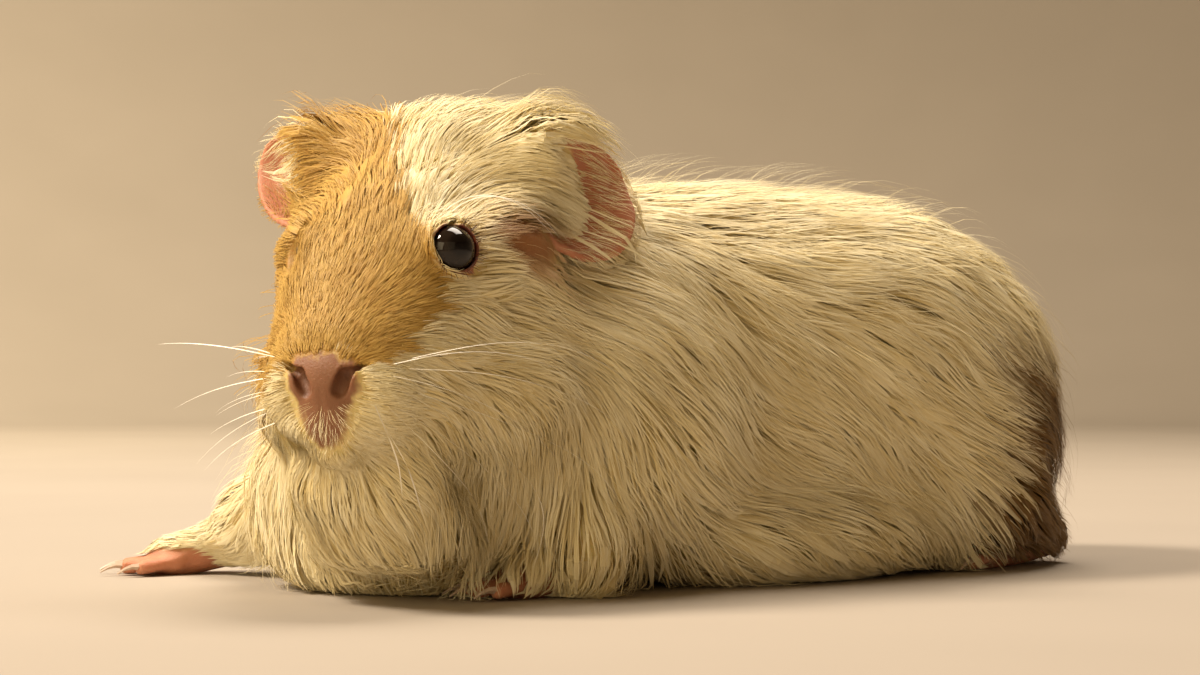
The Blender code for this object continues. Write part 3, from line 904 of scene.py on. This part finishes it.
def coat_material():
    """Fine lines run along each tuft, in its colour and its bump."""
    nodes = Nodes("coat")
    tint = nodes.attribute("tint")
    along = nodes.attribute("along")
    patches = nodes.noise(120, 2)
    place = nodes.add("ShaderNodeCombineXYZ")
    nodes.link(nodes.attribute("hairs"), place.inputs["X"])
    nodes.link(nodes.maths("MULTIPLY", along, 1.5), place.inputs["Y"])
    fine = nodes.add("ShaderNodeTexNoise")
    fine.inputs["Scale"].default_value = 0.8
    fine.inputs["Detail"].default_value = 2.0
    nodes.link(place.outputs["Vector"], fine.inputs["Vector"])
    lines = fine.outputs["Fac"]
    variation = nodes.scaled(tint, 0.35, 0.22)
    # Painted shade: the along term makes each tuft darker towards its root, where a coat shades itself.
    parts = (
        (along, 0.4),
        (nodes.maths("SUBTRACT", patches, 0.5), 0.5),
        (nodes.maths("SUBTRACT", lines, 0.45), 1.3),
    )
    for part, amount in parts:
        variation = nodes.maths("ADD", variation, nodes.maths("MULTIPLY", part, amount))
    variation = nodes.maths("ADD", variation, 0.0, True)
    nodes.bump(lines, 0.5, 0.00008)
    roughness = nodes.maths("SUBTRACT", 0.60, nodes.maths("MULTIPLY", tint, 0.15))
    return nodes.finish(coat_colour(nodes, variation), roughness, 0.3)


def skin_material():
    nodes = Nodes("skin")
    fine = nodes.noise(2600, 4)
    broad = nodes.noise(260, 3)
    # Painted shade: the skin under the coat takes the deeper half of the coat's tones, like the shade among
    # the roots.
    variation = nodes.maths("MULTIPLY", broad, 0.5, True)
    haired = coat_colour(nodes, variation)
    blotches = nodes.maths("MULTIPLY", broad, 0.9, True)
    bare = nodes.mix(blotches, *PINK)
    bare = nodes.mix(nodes.attribute("nose"), bare, nodes.mix(blotches, *NOSE))
    # The lids' dark brown rims, and painted shade in the nostrils and the cleft of the lips.
    bare = nodes.mix(nodes.attribute("dark"), bare, LID_RIM_BROWN_AND_HOLLOW_SHADE)
    colour = nodes.mix(nodes.attribute("bare"), haired, bare)
    nodes.bump(nodes.maths("ADD", fine, broad), 0.35, 0.0004)
    nodes.shader.inputs["Subsurface Weight"].default_value = 0.2
    nodes.shader.inputs["Subsurface Radius"].default_value = (0.0025, 0.0010, 0.0006)
    nodes.shader.inputs["Subsurface Scale"].default_value = 1.0
    return nodes.finish(colour, nodes.scaled(fine, 0.2, 0.42), 0.4)


def eye_material():
    nodes = Nodes("eye")
    flecks = nodes.noise(900, 4)
    colour = nodes.mix(nodes.attribute("iris"), *EYE)
    colour = nodes.mix(nodes.maths("MULTIPLY", flecks, 0.15), colour, IRIS_FLECK)
    return nodes.finish(colour, nodes.scaled(flecks, 0.04, 0.03), 0.35)


def hair_material(name, tones, roughness, specular):
    """Single hairs, from the tone of the root to that of the tip."""
    nodes = Nodes(name)
    along = nodes.attribute("along")
    return nodes.finish(nodes.mix(along, *tones), nodes.scaled(along, 0.1, roughness), specular)


def claw_material():
    nodes = Nodes("claw")
    streaks = nodes.noise(1500, 4)
    colour = nodes.mix(streaks, *CLAW)
    nodes.bump(streaks, 0.2, 0.0002)
    return nodes.finish(colour, nodes.scaled(streaks, 0.15, 0.35), 0.5)


# --- the coat ---


HAIR = 0.17 * MM  # the distance between the fine lines on a tuft
UV_PATCH = 0.003  # the size of a tuft's patch on the map
EAR_HAIR_AHEAD = np.arange(0, 13, 3) * MM  # how far before an ear the head's hair is kept clear of it
THIN_SHARE = 0.7  # how much sparser the coat is where it is thin
REACH_OF_SHORT = {"ears": 0.25, "down": 0.5}  # how much shorter than the coat around them these hairs are
CROWN_LIFT, WISP_LIFT = 0.6, 0.15  # how much higher the coat and its single strands stand on the crown


def scattered(points, triangles, weights, count, rng):
    """Random places on triangles, denser for larger weights: triangle numbers and shares of the corners."""
    first, second, third = (points[triangles[:, corner]] for corner in range(3))
    areas = np.linalg.norm(np.cross(second - first, third - first), axis=1) / 2
    chances = np.cumsum(areas * weights)
    picks = np.searchsorted(chances, rng.uniform(0, chances[-1], count))
    a, b = rng.uniform(size=(2, count))
    flip = a + b > 1
    a[flip], b[flip] = 1 - a[flip], 1 - b[flip]
    return picks, np.stack((1 - a - b, a, b), axis=1)


def parted(places, heading):
    """Turns hairs that head for an eye, so that they run along its lids."""
    p = to_head(places) / MM
    for eye in EYES:
        lift = eye.front(p)
        radial = unit(p - eye.centre - lift[:, None] * eye.axis) @ HEAD_TURN.T
        near = (1 - ramp(eye.opening(p), 0.3, 3.0)) * (lift > 0)
        inward = np.minimum(np.sum(heading * radial, axis=1), 0) * near
        heading = heading - radial * inward[:, None]
    return unit(heading)


def grown(roots, field, length, height, drift, steps):
    """The hairs' lines, which follow the coat's lie from their roots, and the skin's normals along them."""
    here = roots.copy()
    normal = field.normal(here)
    heading, _ = coat_at(here)
    lines, normals = [here - normal * 0.4 * MM], [normal]
    for step in range(1, steps + 1):
        t = step / steps
        lie, _ = coat_at(here)
        swirl = waves(here, 45 * MM, 20) * 0.26 + waves(here, 16 * MM, 21) * 0.13 + drift
        lie -= normal * np.sum(lie * normal, axis=1)[:, None]
        lie = unit(lie)
        lie += np.cross(normal, lie) * swirl[:, None]
        heading = parted(here, unit(0.45 * heading + 0.55 * lie))
        here = here + heading * (length / steps)[:, None]
        normal = field.normal(here)
        target = height * (1 - (1 - t) ** 2.5) + 0.15 * MM
        here += normal * (target - field.sample(here))[:, None]
        here[:, 2] = np.maximum(here[:, 2], 0.4 * MM)
        lines.append(here.copy())
        normals.append(normal)
    normals = np.stack(normals, axis=1)
    normals[..., 2] = np.maximum(normals[..., 2], -0.15)
    return np.stack(lines, axis=1), unit(normals)


def leaders_of(roots, every, rng):
    """Each hair's nearest leader. Leaders are one hair in so many, and one with its hairs is a lock."""
    leaders = rng.permutation(len(roots))[::every]
    tree = KDTree(len(leaders))
    for number, index in enumerate(leaders):
        tree.insert(roots[index], number)
    tree.balance()
    return np.array([leaders[tree.find(root)[1]] for root in roots])


def drawn_together(lines, leaders, strength):
    """The tips of each lock's hairs, drawn towards its leader's."""
    steps = lines.shape[1]
    for step in range(1, steps):
        share = (strength * (step / (steps - 1)) ** 1.3)[:, None]
        lines[:, step] += (lines[leaders, step] - lines[:, step]) * share
    return lines


def tuft_faces(rings):
    """The triangles of one tuft, and its corners' places on its own patch of the map, from 0 to 1."""
    tip = 3 * (rings - 1)
    faces, corners = [(0, 2, 1)], [((0, 0), (1 / 3, 0), (1 / 6, 0.06))]
    for step in range(rings - 1):
        v0, v1 = step / (rings - 1), (step + 1) / (rings - 1)
        for side in range(3):
            a, b = 3 * step + side, 3 * step + (side + 1) % 3
            u0, u1 = side / 3, (side + 1) / 3
            if step == rings - 2:
                faces.append((a, b, tip))
                corners.append(((u0, v0), (u1, v0), ((u0 + u1) / 2, v1)))
            else:
                faces += [(a, b, b + 3), (a, b + 3, a + 3)]
                corners += [((u0, v0), (u1, v0), (u1, v1)), ((u0, v0), (u1, v1), (u0, v1))]
    return np.array(faces), np.array(corners).reshape(-1, 2)


def strands(name, lines, normals, widths, uv, attributes, ridge=0.3):
    """A joined mesh of thin three-sided tufts, one along each line, each closed and pointed at its tip.

    The attribute "hairs" counts hairs across each tuft, for the fine lines of its material.
    """
    count, rings = lines.shape[:2]
    tangents = np.gradient(lines, axis=1)
    across = unit(np.cross(tangents, normals))
    up = unit(np.cross(across, tangents))
    t = np.arange(rings - 1) / (rings - 1)
    profile = np.interp(t, (0, 0.25, 0.6, 1), (0.55, 1.0, 0.85, 0.2))
    half = (widths[:, None] * profile[None, :] / 2)[..., None]
    body, side, rise = lines[:, :-1], across[:, :-1] * half, up[:, :-1] * half * ridge
    ring = np.stack((body + side, body - side, body + rise), axis=2)
    points = np.concatenate((ring.reshape(count, -1, 3), lines[:, -1:]), axis=1)
    per = points.shape[1]
    faces, corner_uv = tuft_faces(rings)
    all_faces = (faces[None] + (np.arange(count) * per)[:, None, None]).reshape(-1, 3)
    mesh = mesh_from(name, points.reshape(-1, 3), all_faces)
    layer = mesh.uv_layers.new(name="OFBake")
    places = uv[:, None, :] + (corner_uv[None] - 0.5) * UV_PATCH
    layer.data.foreach_set("uv", places.astype(np.float32).ravel())
    for key, values in attributes.items():
        set_attribute(mesh, key, np.repeat(values, per))
    shares = np.concatenate((np.repeat(t, 3), [1.0]))
    set_attribute(mesh, "along", np.tile(shares, count))
    places_across = np.concatenate((np.tile((1.0, 0.0, 0.5), rings - 1), [0.5]))
    start = np.arange(count) * 7.31 % 97
    hairs = start[:, None] + places_across[None] * (widths / HAIR)[:, None]
    set_attribute(mesh, "hairs", hairs.ravel())
    mesh.shade_flat()
    return new_object(name, mesh)


def unwrapped(skin):
    """Unwraps the skin and gives the map's place of each corner of each triangle."""
    for other in bpy.context.selected_objects:
        other.select_set(False)
    bpy.context.view_layer.objects.active = skin
    skin.select_set(True)
    bpy.ops.object.mode_set(mode="EDIT")
    bpy.ops.mesh.select_all(action="SELECT")
    bpy.ops.uv.smart_project(angle_limit=math.radians(66), island_margin=0.002)
    bpy.ops.object.mode_set(mode="OBJECT")
    skin.select_set(False)
    mesh = skin.data
    mesh.uv_layers[0].name = "OFBake"
    mesh.calc_loop_triangles()
    corners = rows_of(mesh.loop_triangles, "loops", np.int32, 3)
    return rows_of(mesh.uv_layers[0].data, "uv", np.float32, 2)[corners]


def map_places(skin, uv, roots):
    """The places on the unwrap of the skin's triangles that lie nearest to the roots."""
    points, triangles = mesh_arrays(skin)
    centres = points[triangles].mean(axis=1)
    return np.array([uv[np.argmin(np.sum((centres - root) ** 2, axis=1))].mean(axis=0) for root in roots])


def over_eyes(lines):
    """Which points lie over the opening between the lids; they may reach a little over its front."""
    p = to_head(lines) / MM
    over = np.zeros(lines.shape[:2], bool)
    for eye in EYES:
        margin = np.where((p - eye.centre) @ eye.corner < -1.0, -0.7, 0.0)
        over |= (eye.opening(p) < margin) & (eye.front(p) > 1) & (eye.reach(p) < 7)
    return over


def over_lips(lines, rng):
    """Which points lie too far over the edge of the bare nose and lips, apart from those of a few hairs."""
    over = muzzle_edge(to_head(lines) / MM) < -rng.uniform(0.2, 1.8, (len(lines), 1))
    return over & (rng.uniform(size=len(lines)) > 0.08)[:, None]


def over_ears(lines, petals, rng):
    """Which points lie on the outer part of the ears or before it, apart from those of a few hairs."""
    over = np.zeros(lines.shape[:2], bool)
    below_top = to_head(lines)[..., 2] < EAR_HAIR_TOP * MM
    for ahead in EAR_HAIR_AHEAD:
        behind = from_head(np.array((0, ahead, 0))) - HEAD_PLACE
        over |= petals.sample(lines + behind) < 1.4 * MM
    return over & below_top & (rng.uniform(size=len(lines)) > 0.04)[:, None]


def along_lines(lines, spots):
    """Points on the hairs at the given places along them, each place counted in steps from the root."""
    cell = np.clip(spots.astype(int), 0, lines.shape[1] - 2)
    part = (spots - cell)[..., None]
    rows = np.arange(len(lines))[:, None]
    return lines[rows, cell] * (1 - part) + lines[rows, cell + 1] * part


def cut_short(lines, test):
    """The hairs, each ending before the first place where the test holds, and which have any length left."""
    steps = lines.shape[1] - 1
    fine = np.arange(4 * steps + 1) / 4
    over = test(along_lines(lines, np.broadcast_to(fine, (len(lines), len(fine)))))
    free = np.where(over.any(axis=1), over.argmax(axis=1) - 1, len(fine) - 1) / 4
    spots = np.arange(steps + 1)[None] * (free / steps)[:, None]
    return along_lines(lines, spots), free > 0


# Each part of the coat: name, tufts, the shortest and the longest coat it grows in, steps, width, ridge, one
# leader in so many, the pull to the leader, and its lowest and highest rise as shares of the coat's depth.
# Lengths and widths are in millimetres, and the ridge is a share of half the width.
COAT_PARTS = (
    ("face_a", 9000, 0, 8, 3, 0.20, 0.2, 6, 0.15, 0.1, 0.55),
    ("face_b", 8000, 0, 8, 3, 0.13, 0.2, 9, 0.3, 0.3, 0.9),
    ("head_low", 1900, 8, 40, 5, 1.4, 0.1, 5, 0.3, 0.25, 0.6),
    ("head_a", 4200, 8, 40, 5, 0.42, 0.15, 14, 0.6, 0.4, 0.85),
    ("head_b", 7000, 8, 40, 4, 0.14, 0.2, 26, 0.6, 0.6, 1.1),
    ("chest_low", 1000, 8, 40, 5, 1.6, 0.1, 5, 0.3, 0.2, 0.55),
    ("chest_a", 2800, 8, 40, 5, 0.5, 0.15, 14, 0.6, 0.4, 0.85),
    ("chest_b", 4000, 8, 40, 4, 0.17, 0.2, 26, 0.6, 0.6, 1.1),
    ("body_low", 3600, 8, 40, 5, 1.8, 0.1, 5, 0.3, 0.35, 0.65),
    ("body_a", 7500, 8, 40, 4, 0.5, 0.15, 14, 0.6, 0.5, 0.85),
    ("body_b", 9000, 8, 40, 4, 0.17, 0.2, 26, 0.6, 0.65, 1.05),
    ("legs", 3500, 0, 8, 2, 0.30, 0.2, 9, 0.3, 0.1, 1),
    ("ears", 1900, 0, 99, 3, 0.10, 0.2, 9, 0.2, 0.1, 0.4),
    ("down", 160, 0, 99, 2, 0.06, 0.2, 9, 0.2, 0.4, 1.2),
    ("wisps", 1500, 9, 40, 5, 0.11, 0.3, 5, 0.5, 1.1, 1.9),
)


def coat_regions(places, ears):
    """Where each kind of the coat's parts grows, among places on the skin."""
    p = to_head(places) / MM
    head = 0.72 * p[..., 1] - 0.69 * (p[..., 2] - 52) < 0  # before a plane that slants through the neck
    chest = ~head & (places[..., 1] < -28 * MM)
    rest = ~head & ~chest
    haired = (bare_places(places, ears) < 0.5) & (places[:, 2] > 1.2 * MM)
    return {
        "face": head & haired,
        "head": head & haired,
        "chest": chest & haired,
        "body": rest & haired,
        "legs": (chest | rest) & haired,
        "ears": ears.sample(places) < 0.4 * MM,
        "down": (muzzle_edge(p) < 0.3) & (p[:, 2] < 36.5),
        "wisps": haired,
    }


def varied(low, high, leaders, rng):
    """Random for each hair, and partly the same for all the hairs of a lock."""
    own = rng.uniform(size=len(leaders))
    return low + (high - low) * (0.45 * own + 0.55 * own[leaders])


def over_bare(lines, kind, petals, rng):
    """Which points lie over the eyes, or over the ears, nose or lips unless the hairs grow there."""
    over = over_eyes(lines)
    if kind != "ears":
        over |= over_ears(lines, petals, rng)
    if kind != "down":
        over |= over_lips(lines, rng)
    return over


def make_coat(skin, field, ears, uv, material):
    points, triangles = mesh_arrays(skin)
    points = points.astype(float)
    centres = points[triangles].mean(axis=1)
    petals = ear_petals(0.68)
    regions = coat_regions(centres, ears)
    _, length = coat_at(centres)
    _, _, thin = markings(centres)
    for number, part in enumerate(COAT_PARTS):
        name, count, shortest, longest, steps, width, ridge, every, pull, lowest, highest = part
        rng = np.random.default_rng(SEED + number)
        kind = name.split("_")[0]
        fits = (length >= shortest * MM) & (length < longest * MM) & regions[kind]
        weights = np.where(fits, 1.0, 0.0) * (1 - THIN_SHARE * thin)
        if kind == "face":
            weights *= 1 / np.clip(length / (4 * MM), 0.7, 3)
        picks, shares = scattered(points, triangles, weights, count, rng)
        roots = np.einsum("ij,ijk->ik", shares, points[triangles[picks]])
        root_uv = np.einsum("ij,ijk->ik", shares, uv[picks])
        leaders = leaders_of(roots, every, rng)

        _, reach = coat_at(roots)
        reach = reach * varied(0.65, 1.2, leaders, rng) * REACH_OF_SHORT.get(kind, 1)
        lift = WISP_LIFT if kind == "wisps" else CROWN_LIFT
        crown = ramp(to_head(roots)[:, 2], 80 * MM, 90 * MM)
        height = coat_depth(roots) * varied(lowest, highest, leaders, rng) * (1 + lift * crown)
        drift = varied(-0.22, 0.22, leaders, rng)
        lines, normals = grown(roots, field, reach, height, drift, steps)
        lines = drawn_together(lines, leaders, pull * rng.uniform(0.3, 1.0, count))
        lines, keep = cut_short(lines, lambda places: over_bare(places, kind, petals, rng))

        ginger, brown, thin_here = markings(roots)
        attributes = {
            "ginger": np.where(ginger > rng.uniform(0.2, 0.8, count), 1.0, ginger * 0.5),
            "brown": brown,
            "thin": thin_here * 0.8,
            "tint": varied(0, 1, leaders, rng),
        }
        attributes = {key: values[keep] for key, values in attributes.items()}
        widths = width * MM * rng.uniform(0.6, 1.3, count)
        kept = lines[keep], normals[keep], widths[keep], root_uv[keep]
        coat = strands(f"coat_{name}", *kept, attributes, ridge)
        finish_piece(coat, material)


# --- eyes, claws and whiskers ---


LASHES = 34
LASH_WIDTH = 0.12 * MM
WHISKER_WIDTH = 0.3 * MM
WHISKER_STEPS = 15


def make_eyes(material):
    radius = EYE_RADIUS * MM
    for eye in EYES:
        bm = bmesh.new()
        bmesh.ops.create_uvsphere(bm, u_segments=48, v_segments=32, radius=radius)
        for vert in bm.verts:
            front = max(0.0, vert.co.z / radius - 0.75) / 0.25
            vert.co.z += 0.2 * MM * front * front
        mesh = bpy.data.meshes.new(f"eyeball_{eye.name}")
        bm.to_mesh(mesh)
        bm.free()
        heights = vertex_places(mesh)[:, 2] / radius
        set_attribute(mesh, "iris", ramp(heights, 0.45, 0.6) * (1 - ramp(heights, 0.86, 0.92)))
        made = new_object(f"eyeball_{eye.name}", mesh)
        mesh.shade_smooth()
        rotation = Vector(HEAD_TURN @ eye.axis).to_track_quat("Z", "Y").to_matrix().to_4x4()
        made.data.transform(Matrix.Translation(Vector(from_head(eye.centre * MM))) @ rotation)
        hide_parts(f"eye_{eye.name}")
        finish_piece(made, material)


def curved(start, way, length, bends):
    """A line of equal steps from its start, its way turned by a bend before each step."""
    line = [start]
    for bend in bends:
        way = unit(way + bend)
        line.append(line[-1] + way * length / len(bends))
    return np.array(line)


def make_hairs(name, lines, normals, width, skin, uv, material):
    """Single hairs of one width, with their places on the skin's map."""
    widths = np.full(len(lines), width)
    piece = strands(name, lines, normals, widths, map_places(skin, uv, lines[:, 0]), {})
    finish_piece(piece, material)


def make_lashes(skin, field, uv, material):
    """Short dark hairs on the lids, mostly below and behind the eye."""
    rng = np.random.default_rng(SEED + 40)
    lines = []
    for eye in EYES:
        for _ in range(LASHES):
            angle = math.radians(rng.uniform(-150, 60))
            out = eye.corner * math.cos(angle) + eye.top * math.sin(angle)
            length, height = OPENING
            root = eye.centre + eye.corner * length * math.cos(angle) + eye.top * height * math.sin(angle)
            root = eye.centre + unit(root + out * 0.6 + eye.axis * 2.2 - eye.centre) * (EYE_RADIUS + 0.4)
            way = unit(out * 0.9 + eye.axis * 0.7 + rng.normal(0, 0.15, 3))
            reach = rng.uniform(1.2, 2.6)
            bend = out * 0.25 + np.array((0, 0.1, -0.05))
            lines.append(from_head(curved(root, way, reach, (0, bend, bend)) * MM))
    lines = np.array(lines)
    make_hairs("lashes", lines, field.normal(lines), LASH_WIDTH, skin, uv, material)


def make_claws(material):
    """Each claw's solid stays, with a horn finish."""
    for name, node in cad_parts.items():
        if "claw" in name:
            for slot in node.material_slots:
                slot.link = "OBJECT"
                slot.material = material


def smoothed(line):
    for _ in range(6):
        line[1:-1] = 0.5 * line[1:-1] + 0.25 * (line[:-2] + line[2:])
    return line


def draped(path, field, clearance):
    """A line through places across and up the cheek, laid over the skin at a distance."""
    across, _, up = smooth_curve([(across, 0, up) for across, up in path], 5).T
    c, s = WHISKER_SLANT
    toward = np.full(len(across), 40.0)
    while True:
        ahead = s * across - c * toward - WHISKER_AHEAD
        line = np.stack((c * across + s * toward, ahead, up), axis=1)
        free = (field.sample(from_head(line * MM)) > clearance * MM) & (toward > -60)
        if not free.any():
            return line
        toward -= 0.5 * free


def left_whiskers(field, rng):
    """The whiskers that the tables place, bending a little towards the cheek."""
    lines = []
    for path in WHISKERS:
        line = draped(path, field, 4.0)
        spot = np.linspace(0, len(line) - 1, WHISKER_STEPS + 1)
        line = np.stack([np.interp(spot, np.arange(len(line)), line[:, axis]) for axis in range(3)], axis=1)
        line[:, 1] += np.linspace(0, 1, WHISKER_STEPS + 1) * rng.uniform(-1, 0)
        lines.append(from_head(smoothed(line) * MM))
    return lines


def right_whiskers(rng):
    """Rows of whiskers on the hidden cheek, which sink towards their tips."""
    lines = []
    sinking = [np.array((0, 0.02, -0.012 - 0.02 * step / WHISKER_STEPS)) for step in range(WHISKER_STEPS)]
    for number in range(18):
        row, column = divmod(number, 4)
        root = np.array((-7.5 - 1.4 * column, -45.5 + 2.6 * column, 43.5 - 2.4 * row))
        way = unit(np.array((-0.95, 0.05 + 0.28 * column, 0.2 - 0.13 * row)) + rng.normal(0, 0.08, 3))
        lines.append(curved(from_head(root * MM), HEAD_TURN @ way, rng.uniform(16, 30) * MM, sinking))
    return lines


def brow_hairs():
    """Two long hairs above the left eye, which arch over its back corner."""
    bends = [HEAD_TURN @ np.array((0.02, 0.10, -0.14))] * WHISKER_STEPS
    way = HEAD_TURN @ unit(np.array((0.7, 0.1, 0.7)))
    return [curved(from_head(np.array((15, place, 70)) * MM), way, 24 * MM, bends) for place in (-31, -28)]


def make_whiskers(skin, field, uv, material):
    rng = np.random.default_rng(SEED + 50)
    lines = np.array(left_whiskers(field, rng) + right_whiskers(rng) + brow_hairs())
    normals = np.tile(unit(np.array((0.5, -0.5, 1.0))), (*lines.shape[:2], 1))
    make_hairs("whiskers", lines, normals, WHISKER_WIDTH, skin, uv, material)


# --- stage ---


FLOOR_FLAT = 1.3
FLOOR_EDGE = 2.6
FLOOR_SECTORS = 96
AIM = (0, -0.03, 0.04)
# Each lamp: its place, what it points at, its size, power and colour. The last one lights the background.
LAMPS = (
    ((-0.35, -0.68, 0.88), AIM, 0.26, 17, (1.0, 0.87, 0.72)),
    ((-0.15, 0.25, 0.95), AIM, 0.5, 10.5, (1.0, 0.88, 0.75)),
    ((0.1, -0.75, 0.27), AIM, 0.4, 1.5, (1.0, 0.8, 0.48)),
    ((0.7, -0.7, 0.35), AIM, 0.7, 0.6, (1.0, 0.74, 0.42)),
    ((-1.0, -0.2, 0.9), (-1.6, 0.4, 0.3), 0.6, 20, (1.0, 0.85, 0.62)),
)


def make_floor():
    """A round pale floor that curves up far from the animal."""
    rings = [0.0, 0.3, 0.6, 0.9, 1.2, *np.linspace(FLOOR_FLAT, FLOOR_EDGE, 27)]
    around = np.linspace(0, 2 * math.pi, FLOOR_SECTORS, endpoint=False)
    points = []
    for reach in rings:
        height = 1.1 * max(0.0, reach - FLOOR_FLAT) ** 2
        points += [(reach * math.cos(angle), reach * math.sin(angle), height) for angle in around]
    index = np.arange(len(points)).reshape(len(rings), FLOOR_SECTORS)
    other = np.roll(index, -1, axis=1)
    quads = np.stack((index[:-1], index[1:], other[1:], other[:-1]), axis=-1).reshape(-1, 4)
    mesh = mesh_from("floor", np.array(points), quads)
    nodes = Nodes("floor")
    colour = nodes.mix(nodes.noise(6, 2), *FLOOR)
    mesh.materials.append(nodes.finish(colour, 0.9, 0.2))
    new_object("floor", mesh)


def make_lights():
    world = bpy.data.worlds.new("studio")
    world.use_nodes = True
    background = world.node_tree.nodes["Background"]
    background.inputs["Color"].default_value = (1.0, 0.62, 0.27, 1)
    background.inputs["Strength"].default_value = 0.13
    bpy.context.scene.world = world
    bpy.context.scene.view_settings.view_transform = "Standard"
    for place, target, size, power, colour in LAMPS:
        light = bpy.data.lights.new("softbox", "AREA")
        light.size = size
        light.energy = power
        light.color = colour
        lamp = new_object("softbox", light)
        lamp.location = place
        lamp.rotation_euler = (Vector(target) - Vector(place)).to_track_quat("-Z", "Y").to_euler()


def make_camera():
    """Low in front of the animal's left cheek, as far off as its perspective shows."""
    azimuth = math.radians(54)
    tilt = math.radians(0.61)
    camera = bpy.data.cameras.new("camera")
    camera.sensor_width = 36
    camera.lens = 75
    camera.clip_start = 0.01
    camera.clip_end = 10
    made = new_object("camera", camera)
    made.location = Vector((408.6, -323.6, 43)) * MM
    ahead = Vector((-math.sin(azimuth) * math.cos(tilt), math.cos(azimuth) * math.cos(tilt), math.sin(tilt)))
    made.rotation_euler = ahead.to_track_quat("-Z", "Y").to_euler()
    bpy.context.scene.camera = made


# --- the whole animal ---


def dress():
    ears = ear_petals(0.4)
    skin = make_skin(closed_solids())
    points, triangles = mesh_arrays(skin)
    field = Field.of_mesh(points, triangles, BAND)
    places = vertex_places(skin.data)
    for marking, values in zip(MARKINGS, markings(places)):
        set_attribute(skin.data, marking, values)
    set_attribute(skin.data, "bare", bare_places(places, ears))
    set_attribute(skin.data, "dark", dark_places(places))
    from_nose = np.linalg.norm(to_head(places) / MM - (0, -48, 37), axis=-1)
    set_attribute(skin.data, "nose", 1 - ramp(from_nose, 12, 15))
    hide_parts(*FLESH)
    finish_piece(skin, skin_material())
    uv = unwrapped(skin)
    make_coat(skin, field, ears, uv, coat_material())
    make_eyes(eye_material())
    make_lashes(skin, field, uv, hair_material("lash", LASH, 0.35, 0.4))
    make_claws(claw_material())
    make_whiskers(skin, field, uv, hair_material("whisker", WHISKER, 0.3, 0.5))


dress()
make_floor()
make_lights()
make_camera()
